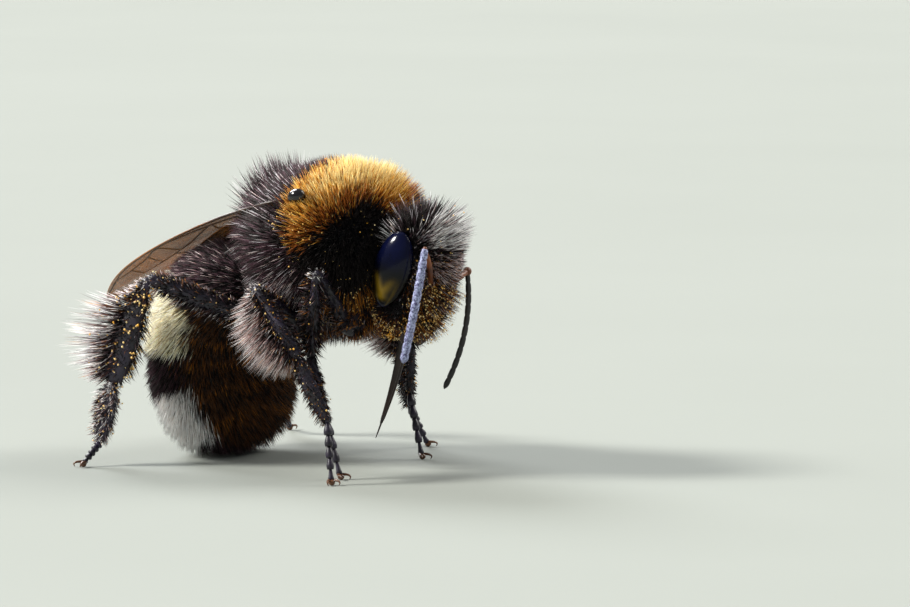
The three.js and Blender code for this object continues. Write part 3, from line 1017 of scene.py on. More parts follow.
def copies_mesh(name: str, verts: Array, faces: Sequence[Sequence[int]], colours: Array, uv: Array) -> Piece:
    """A mesh of many small bodies that share their faces, such as hairs or grains.

    Args:
        name: the object's name.
        verts: for each body its points.
        faces: three point numbers for each face of one body.
        colours: for each body the colours of its points.
        uv: for each body the places of its points on the coat's map.

    Returns:
        The object.
    """
    count, each, _ = verts.shape
    corners = np.array(faces, np.int32)[None] + np.arange(count, dtype=np.int32)[:, None, None] * each
    corners = corners.ravel()
    mesh = bpy.data.meshes.new(name)
    mesh.vertices.add(count * each)
    mesh.vertices.foreach_set("co", verts.astype(np.float32).ravel())
    mesh.loops.add(corners.size)
    mesh.loops.foreach_set("vertex_index", corners)
    mesh.polygons.add(corners.size // 3)
    mesh.polygons.foreach_set("loop_start", np.arange(0, corners.size, 3, dtype=np.int32))
    mesh.update(calc_edges=True)
    paint(mesh, colours.reshape(-1, 3))
    chart = mesh.uv_layers.new(name="OFBake")
    chart.data.foreach_set("uv", uv.reshape(-1, 2).astype(np.float32)[corners].ravel())
    obj = bpy.data.objects.new(name, mesh)
    bpy.context.scene.collection.objects.link(obj)
    return obj


def paint(mesh: bpy.types.Mesh, colours: Array) -> None:
    """Gives each point of a mesh its colour, in the layer that the finishes read."""
    layer = mesh.color_attributes.new(name=PAINT, type="FLOAT_COLOR", domain="POINT")
    rgba = np.concatenate([colours, np.ones((len(colours), 1))], axis=1).astype(np.float32)
    layer.data.foreach_set("color", rgba.ravel())


def points_of(obj: Piece, what: str = "co") -> Array:
    """The points of a mesh as rows, or what else it knows of each point."""
    rows = np.empty(len(obj.data.vertices) * 3, np.float32)
    obj.data.vertices.foreach_get(what, rows)
    return rows.reshape(-1, 3).astype(float)


def move_points(obj: Piece, points: Array) -> None:
    """Puts the points of a mesh in new places."""
    obj.data.vertices.foreach_set("co", points.astype(np.float32).ravel())
    obj.data.update()


# ---------------------------------------------------------------- the body's skin


# The three parts of the body, as the numbers by which skin and coat tell them apart.
ON_HEAD, ON_THORAX, ON_ABDOMEN = range(3)

# Half sizes of the rounded space that belongs to the head, and to the thorax.
HEAD_REACH = np.array([1.35, 1.95, 2.3])
THORAX_REACH = np.array([2.85, 2.65, 2.6])


@dataclass
class BodySkin:
    """One skin for head, thorax and abdomen, which lies inside the coat.

    Args:
        thorax: half sizes of the thorax.
        abdomen: half width and half depth of the abdomen.
        squareness: how full the abdomen's ends are.
        reach: the share of the abdomen's line that the skin takes.
        cuts: where its plates end, as shares of its length.
        voxel: the fineness of the joined skin.
    """

    thorax: Point = (2.72, 2.5, 2.42)
    abdomen: tuple[float, float] = (2.62, 1.9)
    squareness: float = 2.75
    reach: float = 0.945
    cuts: tuple[float, ...] = (0.0, 0.31, 0.53, 0.7, 0.82, 0.92, 1.0)
    voxel: float = 0.085
    skin: Piece | None = field(default=None, init=False)

    def thorax_lumps(self) -> list[Piece]:
        """The thorax, the hump of its shield and the neck."""
        turn = THORAX.turn
        main = Bench.lump((0, 0, 0), self.thorax, turn, 48, 32)
        with Bench.shaping(main, lambda co: co.z < -1.5):
            bpy.ops.transform.resize(value=(0.94, 0.86, 1.0), center_override=(0, 0, -1.6))
        shield = Bench.lump(THORAX.place(-1.7, 0, 1.35), (1.05, 1.75, 0.95), turn)
        neck = Bench.lump((2.55, 0, -0.75), (0.9, 0.8, 0.9))
        waist = Bench.lump((-2.35, 0, -1.35), (0.8, 1.1, 0.9))
        return [main, shield, neck, waist]

    def abdomen_rod(self) -> Piece:
        """The bent abdomen, with a step at the rear edge of each plate."""
        line, _, place = ABDOMEN.walk()
        last = int(self.reach * (len(line) - 1))
        keep = np.unique(np.linspace(0, last, 90).astype(int))
        width, depth = self.abdomen
        radii = []
        for p in place[keep]:
            plate = np.searchsorted(self.cuts, p, side="right") - 1
            share = (p - self.cuts[plate]) / (self.cuts[plate + 1] - self.cuts[plate])
            round_off = swell(2 * p / self.reach - 1, self.squareness)
            radii.append(depth * round_off * (0.975 + 0.05 * share) + 0.01)
        rod = Bench.sweep(line[keep], radii, 48)
        with Bench.shaping(rod, lambda co: True):
            bpy.ops.transform.resize(value=(1.0, width / depth, 1.0), center_override=(0, 0, 0))
        return rod

    def head_lumps(self) -> list[Piece]:
        """The skull, face shield, cheeks and the root of the jaws."""
        turn = HEAD.turn
        skull = Bench.lump(HEAD.place(0.0, 0, 0.35), (0.88, 1.42, 1.65), turn, 40, 28)
        with Bench.shaping(skull, lambda co: co.z < HEAD.middle[2] - 0.6):
            bpy.ops.transform.resize(value=(0.93, 0.8, 1.0), center_override=(3.25, 0, -1.5))
        brow = Bench.lump(HEAD.place(0.3, 0, 0.7), (0.68, 0.95, 1.0), turn)
        shield = Bench.lump(HEAD.place(0.28, 0, -0.9), (0.48, 0.68, 0.82), turn)
        cheeks = [Bench.lump(HEAD.place(-0.12, 0.74 * s.value, -0.92), (0.55, 0.5, 0.9), turn) for s in Side]
        return [skull, brow, shield, *cheeks]

    def build(self) -> Piece:
        """Joins the lumps to one closed skin without a seam, pressed in under the wings.

        Returns:
            The skin, in millimetres around the thorax.
        """
        parts = [*self.thorax_lumps(), self.abdomen_rod(), *self.head_lumps()]
        skin = Bench.join(parts)
        Bench.apply(skin, "REMESH", mode="VOXEL", voxel_size=self.voxel)
        points = points_of(skin)
        for wings in WINGS.values():
            points[:, 2] -= np.clip(wings.above(points) + SKIN_ROOM, 0, None)
        move_points(skin, points)
        Bench.apply(skin, "SMOOTH", factor=0.5, iterations=6)
        self.skin = skin
        return skin

    @staticmethod
    def parts(points: Array) -> Array:
        """Which part of the body each place belongs to."""
        thorax = THORAX.local(points)
        onto_head = ((HEAD.local(points) / HEAD_REACH) ** 2).sum(1)
        onto_thorax = ((thorax / THORAX_REACH) ** 2).sum(1)
        part = np.where(onto_head < onto_thorax, ON_HEAD, ON_THORAX)
        behind = (thorax[:, 0] < -0.9) & (onto_thorax > 1.12)
        part[behind & (points[:, 0] < -1.2)] = ON_ABDOMEN
        return part

    def dress(self) -> None:
        """Paints the markings on the skin and hands it over."""
        points = points_of(self.skin)
        part = self.parts(points)
        colours = np.zeros((len(points), 3))
        # The markings carry the coat's painted highlights and sheen onto the skin as well.
        for number, marking in enumerate((Marking.head, Marking.thorax, Marking.abdomen)):
            mine = part == number
            shares = marking(points[mine])
            total = sum(np.maximum(s, 0) for s in shares.values())
            for kind, share in shares.items():
                colours[mine] += (np.maximum(share, 0) / total)[:, None] * np.array(tone(kind.value.shaft))
        paint(self.skin.data, np.clip(colours, 0, 1))
        rings = [f"abdomen_{i}" for i in range(1, 7)]
        flesh = ["head", "thorax_collar", "thorax_scutum", "thorax_scutellum", *rings]
        Bench.settle(self.skin, "body_skin", MarkedSkin().make(), "black_fur", flesh)


# ---------------------------------------------------------------- the coat


@dataclass
class BodyCoat:
    """The hair of head, thorax and abdomen, sown on the skin.

    Args:
        thick: hairs to the square millimetre on head, thorax and abdomen.
        most: hairs in one piece.
    """

    thick: Point = (1150.0, 690.0, 400.0)
    most: int = 19500
    kept: dict[str, Roots] = field(default_factory=dict, init=False)
    tips: dict[str, Array] = field(default_factory=dict, init=False)

    def sow(self, skin: Piece, rng: Chance) -> tuple[Roots, Array]:
        """Scatters the roots, leaving out the eyes' own ground.

        Args:
            skin: the skin, in millimetres.
            rng: the source of chance.

        Returns:
            The roots and the part of each.
        """
        roots = Roots.sow(skin, lambda p: np.array(self.thick)[BodySkin.parts(p)], rng)
        clear = np.ones(len(roots.points), bool)
        for side in Side:
            clear &= ~CompoundEye(side).covers(roots.points, 1.02)
        roots = roots.keep(clear)
        return roots, BodySkin.parts(roots.points)

    def head(self, roots: Roots, rng: Chance) -> Hair:
        """The head's hair: long and upright on the crown, short on the face.

        Args:
            roots: where it grows.
            rng: the source of chance.

        Returns:
            The hair.
        """
        x, y, z = HEAD.local(roots.points).T
        crown = ramp(z, 0.9, 1.7)
        rear = ramp(-x, 0.1, 0.6)
        low = ramp(-z, 0.4, 1.4)
        face = ramp(x, 0.3, 0.7) * ramp(-z, -0.9, 0.2)
        upward = ramp(roots.normals[:, 2], 0.45, 0.85)
        length = 0.4 + (0.18 + 0.26 * upward) * crown + 0.3 * rear * ramp(z, -0.5, 0.8)
        length = length - 0.1 * low - 0.1 * ramp(-z, 1.3, 1.8)
        near = np.minimum(*[CompoundEye(s).reach(roots.points) for s in Side])
        open_eye = np.maximum(ramp(near, 1.05, 1.5), ramp(x, 0.05, 0.35))
        gap = np.minimum(*[Antenna(s).gap(roots.points + roots.normals * 0.25) for s in Side])
        free = ramp(gap, 0.15, 0.45)
        length *= (0.5 + 0.5 * open_eye) * (0.45 + 0.55 * free)
        guard, longer, stouter = layers(rng, len(x), share=0.18)
        length *= longer
        length += guard * (0.38 * crown * ramp(x, -0.3, 0.3) + 0.36 * face) * open_eye * free
        lean = HEAD.direction(
            0.1 + 0.25 * crown - 0.15 * rear,
            (0.15 + 0.3 * ramp(y, 0.6, 1.1)) * y * open_eye,
            0.15 * crown - 0.35 * (1 - crown) * (0.2 + low),
        )
        shares = Marking.head(roots.points + roots.normals * 0.45)
        # The painted highlights of SILVER and WHITE go mostly onto the long guard hairs, pollen mostly onto
        # the short ones.
        for kind, longest, short in (
            (Kind.SILVER, 5.0, 0.2),
            (Kind.WHITE, 2.5, 0.4),
            (Kind.DUSTED, 0.15, 1.0),
        ):
            shares[kind] = shares[kind] * np.where(guard, longest, short)
        width = HEAD_HAIR * np.where(guard & (face > 0.3), 0.85, stouter)
        kinds, places = choose(rng, shares), HEAD.unwrap(roots.points)
        return Hair(
            roots, lean * 0.9, length, width, kinds, places, wild=0.13, clump=6, pull=0.45, bend=0.15
        )

    def thorax(self, roots: Roots, rng: Chance) -> Hair:
        """The thorax's hair: a dense upright brush, longest at the rear edge of the back.

        Args and what it returns are as for the head.
        """
        x, y, z = THORAX.local(roots.points).T
        tuft = ramp(-x, 0.2, 1.7) * ramp(z, 0.9, 1.7) * ramp(roots.normals[:, 2], 0.3, 0.85)
        shoulder = ramp(-x, -0.2, 0.4) * ramp(z, 0.4, 1.0) * ramp(-z, -2.1, -1.6) * ramp(np.abs(y), 0.9, 1.5)
        length = 0.84 + 0.54 * tuft - 0.12 * ramp(x, 1.9, 2.6) - 0.05 * ramp(-z, 0.8, 2.0) + 0.2 * shoulder
        length -= 0.22 * ramp(z, 1.2, 2.1) * ramp(-np.abs(x - 0.7), -1.7, -0.9)
        rump = ramp(-x, 1.2, 2.1) * ramp(z, -0.6, 0.4) * (1 - tuft)
        length -= 0.12 * rump
        guard, longer, stouter = layers(rng, len(x), share=0.28)
        length *= longer
        below = ramp(-z, -1.2, 1.0)
        rearward = 0.22 * ramp(-x, 0.5, 2.0) * (1 - tuft)
        lean = THORAX.direction(
            -0.12 - rearward + 0.1 * ramp(x, 0.5, 2.0) - 0.2 * below - 0.3 * shoulder,
            0.0,
            0.12 - 0.5 * below * (1 - shoulder) + 0.3 * tuft + 0.3 * shoulder - 0.75 * rump,
        )
        shares = Marking.thorax(roots.points + roots.normals * 0.7)
        # SILVER's painted glints go mostly onto the long guard hairs.
        shares[Kind.SILVER] = shares[Kind.SILVER] * np.where(guard, 2.5, 0.4)
        kinds, places = choose(rng, shares), THORAX.unwrap(roots.points)
        width = THORAX_HAIR * stouter
        return Hair(roots, lean, length, width, kinds, places, wild=0.16, clump=8, pull=0.42)

    def abdomen(self, roots: Roots, rng: Chance) -> Hair:
        """The abdomen's hair, which leans towards the tip.

        Args and what it returns are as for the head.
        """
        place, back, side, ahead = ABDOMEN.find(roots.points)
        angle = np.arctan2(side, back)
        drop = ramp(-roots.normals[:, 0], 0.3, 0.7) * ramp(roots.points[:, 2], -0.6, 0.3)
        lean = ahead * 0.85 - np.outer(drop, (0.0, 0.0, 1.2))
        way = unit(roots.normals + lean)
        length = 0.62 + 0.18 * ramp(place, 0.6, 0.9) - 0.12 * ramp(-back, 0.0, 0.6) + 0.25 * drop
        length *= rng.uniform(0.7, 1.2, len(place))
        for wings in WINGS.values():
            tips = roots.points + way * length[:, None]
            low, high = wings.above(roots.points), wings.above(tips)
            room = np.clip((-HAIR_ROOM - low) / np.maximum(high - low, 1e-3), 0.3, 1.0)
            length = np.where((high > -HAIR_ROOM) & wings.covers(tips), length * room, length)
        places = np.stack([angle / (2 * math.pi) + 0.5, place], axis=1)
        kinds = choose(rng, Marking.abdomen(roots.points + (roots.normals + ahead * 0.5) * 0.3))
        width = np.full(len(place), ABDOMEN_HAIR)
        return Hair(roots, lean, length, width, kinds, places, wild=0.15, clump=14, pull=0.4, bend=0.5)

    def pieces(self, part: int, points: Array) -> dict[str, tuple[Array, str]]:
        """How one part's hair is divided into pieces.

        Args:
            part: the part's number.
            points: the roots.

        Returns:
            For each piece's name, its mask and its slot.
        """
        if part == ON_HEAD:
            local = HEAD.local(points)
            face = local[:, 0] > 0.15
            return {"coat_face": (face, "black_fur"), "coat_crown": (~face, "black_fur")}
        if part == ON_THORAX:
            marks = Marking.thorax(points + unit(points) * 0.7)
            gold = marks[Kind.GOLD] + marks[Kind.PALE] + marks[Kind.ORANGE] > 0.5
            local = THORAX.local(points)
            rear = local[:, 0] < 0
            right = points[:, 1] < 0
            return {
                "coat_collar": (gold, "gold_fur"),
                "coat_thorax_front": (~gold & ~rear, "black_fur"),
                "coat_thorax_rear_right": (~gold & rear & right, "black_fur"),
                "coat_thorax_rear_left": (~gold & rear & ~right, "black_fur"),
            }
        place = ABDOMEN.find(points)[0]
        first, band, dark = place < 0.31, place < 0.53, place < 0.7
        return {
            "coat_abdomen_waist": (first, "black_fur"),
            "coat_abdomen_band": (band & ~first, "cream_fur"),
            "coat_abdomen_middle": (dark & ~band, "black_fur"),
            "coat_abdomen_tail": (~dark, "white_fur"),
        }

    def build(self, skin: Piece, rng: Chance) -> None:
        """Grows, dresses and hands over the whole coat of the body.

        Args:
            skin: the skin, in millimetres.
            rng: the source of chance.
        """
        roots, part = self.sow(skin, rng)
        fur = Fur("body_fur").make()
        for number, grow in enumerate((self.head, self.thorax, self.abdomen)):
            mine = roots.keep(part == number)
            for name, (mask, slot) in self.pieces(number, mine.points).items():
                chosen = mine.keep(mask)
                if len(chosen.points) > self.most:
                    log.warning("%s: %d roots thinned to %d", name, len(chosen.points), self.most)
                    chosen = chosen.keep(rng.permutation(len(chosen.points))[: self.most])
                piece = grow(chosen, rng).build(name, rng)
                self.tips[name] = points_of(piece)[STRAND - 1 :: STRAND]
                self.kept[name] = chosen
                Bench.settle(piece, name, fur, slot)


# ---------------------------------------------------------------- eyes


@dataclass
class CompoundEye:
    """One compound eye, whose painted reflection has gold rims in its lower half.

    Args:
        side: the side of the head.
        half: half sizes ahead, across and up.
        at: its middle on the head, for the left side.
        toe: degrees by which its top leans in.
        nod: degrees by which its top leans ahead.
    """

    side: Side
    half: Point = (0.7, 0.42, 1.3)
    at: Point = (-0.1, 1.45, 0.5)
    toe: float = 4.0
    nod: float = 4.0

    @property
    def turn(self) -> Matrix:
        """The turn of the eye's own axes."""
        lean = Matrix.Rotation(math.radians(self.toe * self.side.value), 3, "X")
        return HEAD.turn @ Matrix.Rotation(math.radians(self.nod), 3, "Y") @ lean

    @property
    def middle(self) -> Vector:
        """The eye's middle around the thorax."""
        ahead, out, up = self.at
        return HEAD.place(ahead, out * self.side.value, up)

    def reach(self, points: Array) -> Array:
        """How far out places lie from the eye's middle, with 1 on its surface."""
        local = (points - np.array(self.middle)) @ np.array(self.turn)
        return np.sqrt(((local / np.array(self.half)) ** 2).sum(1))

    def covers(self, points: Array, grow: float) -> Array:
        """Whether places lie inside the eye grown by a share."""
        return self.reach(points) < grow

    def build(self) -> Piece:
        """The eyeball, narrower below, painted with a reflection: dark blue above and the gold V and rims of
        its lower half.
        """
        ball = Bench.lump(self.middle, self.half, self.turn, 64, 40)
        local = (points_of(ball) - np.array(self.middle)) @ np.array(self.turn)
        up = local[:, 2] / self.half[2]
        off = local[:, 0] / self.half[0]
        local[:, 0] *= 1 - 0.2 * np.clip(-up - 0.1, 0, 1) ** 1.4
        move_points(ball, local @ np.array(self.turn).T + np.array(self.middle))
        # The eye's colours are a painted reflection over near-black: dark blue above, a greenish gold V with
        # gold rims below.
        navy_reflection, olive_reflection, deep = (np.array(tone(c)) for c in ("060a26", "6c5612", "030304"))
        share = (ramp(-up, -0.5, 0.2) * (1 - ramp(-up, 0.85, 0.97)))[:, None]
        drop = np.clip((-up - 0.08) / 0.5, 0, 1)
        arms = np.exp(-(((np.abs(off - 0.12) - 0.6 * (1 - drop)) / (0.2 + 0.08 * drop)) ** 2))
        arms *= (0.1 + 0.9 * drop) * ramp(-up, 0.02, 0.3) * (1 - ramp(-up, 0.68, 0.86))
        rims = np.exp(-(((np.abs(off) / np.sqrt(1.001 - up**2) - 0.8) / 0.07) ** 2)) * ramp(-up, 0.15, 0.5)
        middle = np.clip(arms + 0.45 * rims, 0, 1)[:, None]
        colours = navy_reflection * (1 - share) + (olive_reflection * middle + deep * (1 - middle)) * share
        paint(ball.data, colours)
        return ball

    def dress(self, ball: Piece, gloss: Finish) -> None:
        """Hands the eye over in place of its solid."""
        Bench.settle(ball, f"eye_ball_{self.side.word}", gloss, "eye", [f"eye_{self.side.word}"])


@dataclass
class Ocelli:
    """The three small eyes on the crown."""

    radius: float = 0.14

    def build(self, gloss: Finish) -> None:
        """Makes the three beads in their triangle and hands them over."""
        seats = [(0.62, 0, 1.62), *[(0.42, 0.3 * s.value, 1.8) for s in Side]]
        obj = Bench.join([Bench.bead(HEAD.place(*seat), self.radius) for seat in seats])
        paint(obj.data, np.tile(np.array(tone("0a0a10")), (len(obj.data.vertices), 1)))
        Bench.settle(obj, "ocelli", gloss, "eye")


# ---------------------------------------------------------------- antennae and mouth


# Elbow, middle and tip of each feeler.
FEELERS: dict[Side, tuple[Point, Point, Point]] = {
    Side.RIGHT: ((4.85, -1.65, 0.33), (4.63, -1.9, -1.55), (4.14, -1.9, -3.45)),
    Side.LEFT: ((4.2, 1.6, -0.7), (3.9, 1.88, -2.74), (3.1, 1.8, -4.72)),
}


@dataclass
class Antenna:
    """One feeler: the long scape, the elbow and the ringed flagellum.

    Args:
        side: its side.
        radius: of the flagellum.
        scape: radius of the scape.
        knob: radius of the elbow.
        rings: joints of the flagellum.
    """

    side: Side
    radius: float = 0.145
    scape: float = 0.12
    knob: float = 0.08
    rings: int = 11

    @property
    def knots(self) -> tuple[Point, Point, Point]:
        """The elbow, middle and tip."""
        return FEELERS[self.side]

    @property
    def socket(self) -> Vector:
        """Where the scape starts on the face."""
        return HEAD.place(0.78, 0.38 * self.side.value, 0.05)

    def gap(self, points: Array) -> Array:
        """How far places lie from the scape."""
        start, end = np.array(self.socket), np.array(self.knots[0])
        run = end - start
        share = np.clip((points - start) @ run / (run @ run), 0, 1)[:, None]
        return np.linalg.norm(points - start - run * share, axis=1)

    def curve(self, t: float) -> Vector:
        """A place on the flagellum, from 0 at the elbow to 1 at the tip."""
        elbow, middle, tip = (Vector(k) for k in self.knots)
        return bow(elbow, middle * 2 - (elbow + tip) * 0.5, tip, t)

    def flagellum(self) -> Piece:
        """The ringed whip, narrowed at every joint."""
        per = 6
        total = self.rings * per
        blunt = {total - 2: 0.85, total - 1: 0.6, total: 0.12}
        points, radii = [], []
        for i in range(total + 1):
            t = i / total
            phase = (i % per) / per
            neck = 0.8 if i % per == 0 else 1.0 - 0.06 * (1 - math.sin(math.pi * phase))
            size = self.radius * (0.78 + 0.22 * min(1.0, t * 6)) * neck
            points.append(self.curve(t))
            radii.append(size * blunt.get(i, 1.0))
        return Bench.sweep(points, radii, 16)

    def scape_rod(self) -> Piece:
        """The scape, bowed a little, with the ball in its socket and the short elbow joint."""
        socket, elbow = self.socket, Vector(self.knots[0])
        control = (socket + elbow) / 2 + HEAD.turn @ Vector((0.16, 0, 0.1))
        steps = 16
        points, radii = [], []
        for i in range(steps + 1):
            t = i / steps
            points.append(bow(socket, control, elbow, t))
            belly = 0.75 + 0.35 * math.sin(math.pi * min(1, t * 1.1 + 0.05))
            radii.append(self.scape * belly * (0.4 if i in (0, steps) else 1))
        balls = [Bench.bead(at, radius) for at, radius in ((socket, 0.16), (elbow, self.knob))]
        return Bench.join([Bench.sweep(points, radii, 16), *balls])

    def build(self, whip: Finish, rod: Finish) -> None:
        """Makes both lengths and hands them over."""
        word = self.side.word
        Bench.settle(self.flagellum(), f"flagellum_{word}", whip, "chitin", [f"antenna_{word}_flagellum"])
        Bench.settle(self.scape_rod(), f"scape_{word}", rod, "chitin", [f"antenna_{word}_scape"])


# Stations of a jaw: ahead, out and up on the head, and the radius.
JAW = (
    (0.2, 0.88, -1.3, 0.24),
    (0.28, 0.8, -1.5, 0.27),
    (0.3, 0.64, -1.72, 0.26),
    (0.28, 0.46, -1.9, 0.23),
    (0.24, 0.28, -2.04, 0.18),
    (0.2, 0.18, -2.1, 0.08),
)

# Rods of the tongue: side, distance from its middle, radius, and share of its length.
TONGUE = (
    (-1, 0.1, 0.13, 0.86),
    (1, 0.1, 0.13, 0.86),
    (0, 0.0, 0.08, 1.0),
    (-1, 0.18, 0.06, 0.7),
    (1, 0.18, 0.06, 0.7),
)


@dataclass
class Mouth:
    """The jaws and the tongue in its sheath."""

    tip: Point = (1.6, 0.0, -6.3)

    def jaw(self, side: Side) -> Piece:
        """One spoon-shaped jaw, closed under the face."""
        s = side.value
        points = [HEAD.place(ahead, out * s, up) for ahead, out, up, _ in JAW]
        blade = Bench.sweep(points, [radius for *_, radius in JAW], 16)
        Bench.apply(blade, "SUBSURF", levels=1, render_levels=1)
        Bench.flatten(blade, HEAD.place(0.33, 0.6 * s, -2.0), HEAD.turn @ Vector((1, 0, 0)), 0.62)
        return blade

    def tongue(self) -> Piece:
        """Two grooved sheath blades around the thin tongue, and the feelers beside them."""
        base, tip = HEAD.place(-0.1, 0, -1.7), Vector(self.tip)
        steps = 18
        rods = []
        for s, out, width, reach in TONGUE:
            points, radii = [], []
            for i in range(steps + 1):
                t = i / steps * reach
                ahead = math.sin(math.pi * t) * 0.12
                points.append(base.lerp(tip, t) + Vector((ahead, s * out * (1 - 0.6 * t), 0)))
                radii.append(width * (1 - 0.75 * (i / steps) ** 1.5) * (0.5 if i in (0, steps) else 1))
            rods.append(Bench.sweep(points, radii, 12))
        return Bench.join(rods)

    def build(self, shell: Finish) -> None:
        """Makes the pieces and hands them over."""
        for side in Side:
            Bench.settle(self.jaw(side), f"jaw_{side.word}", shell, "chitin", [f"mandible_{side.word}"])
        Bench.settle(self.tongue(), "tongue", shell, "chitin", ["proboscis"])


# ---------------------------------------------------------------- legs


# The lengths of a leg, by the number of the joint that each starts at.
COXA, FEMUR, TIBIA, HEEL = range(4)


@dataclass(frozen=True)
class LegSizes:
    """Half sizes of a leg's hard parts, without hair, and the length of its fringe.

    Args:
        femur: half breadth of the femur.
        tibia: half breadth of the tibia.
        tibia_thin: half thickness of the tibia.
        heel: half breadth of the heel.
        heel_thin: half thickness of the heel.
        fringe: length of the hair along the tibia's rear edge.
        brush: more hairs to the square millimetre along that edge.
        foot: half breadth of the foot's joints.
    """

    femur: float
    tibia: float
    tibia_thin: float
    heel: float
    heel_thin: float
    fringe: float
    brush: float
    foot: float = 0.13


LEG_SIZES = {
    Pair.FRONT: LegSizes(0.27, 0.24, 0.19, 0.18, 0.13, 0.34, 0.0),
    Pair.MIDDLE: LegSizes(0.29, 0.36, 0.22, 0.3, 0.13, 1.4, 1500.0),
    Pair.HIND: LegSizes(0.3, 0.54, 0.19, 0.38, 0.14, 1.8, 560.0),
}

# Hip, trochanter, knee, ankle, heel and toe.
LEG_JOINTS: dict[tuple[Pair, Side], tuple[Point, ...]] = {
    (Pair.FRONT, Side.RIGHT): (
        (1.6, -0.7, -1.9), (1.5, -1.35, -2.45), (1.37, -2.95, -0.52),
        (1.2, -3.05, -3.35), (1.7, -2.95, -5.0), (2.4, -3.05, FLOOR),
    ),
    (Pair.FRONT, Side.LEFT): (
        (1.6, 0.7, -1.9), (1.5, 1.35, -2.45), (0.85, 2.95, -1.2),
        (0.8, 3.05, -3.5), (0.9, 2.85, -5.1), (1.5, 2.7, FLOOR),
    ),
    (Pair.MIDDLE, Side.RIGHT): (
        (0.1, -1.1, -2.3), (-0.05, -1.75, -2.65), (-0.39, -4.0, -1.09),
        (1.46, -4.1, -3.28), (2.66, -4.05, -5.3), (3.0, -4.3, FLOOR),
    ),
    (Pair.MIDDLE, Side.LEFT): (
        (0.1, 1.1, -2.3), (-0.05, 1.75, -2.65), (-0.9, 4.05, -1.2),
        (-0.6, 4.45, -3.95), (-0.5, 4.75, -5.85), (-0.3, 5.45, FLOOR),
    ),
    (Pair.HIND, Side.RIGHT): (
        (-1.3, -1.0, -2.2), (-1.7, -1.65, -2.55), (-5.02, -3.86, -1.02),
        (-6.07, -4.47, -4.51), (-6.2, -4.9, -6.5), (-6.4, -5.5, FLOOR),
    ),
    (Pair.HIND, Side.LEFT): (
        (-1.3, 1.0, -2.2), (-1.7, 1.65, -2.55), (-4.75, 4.1, -1.1),
        (-6.0, 4.75, -4.5), (-6.35, 5.25, -6.5), (-6.8, 6.2, FLOOR),
    ),
}


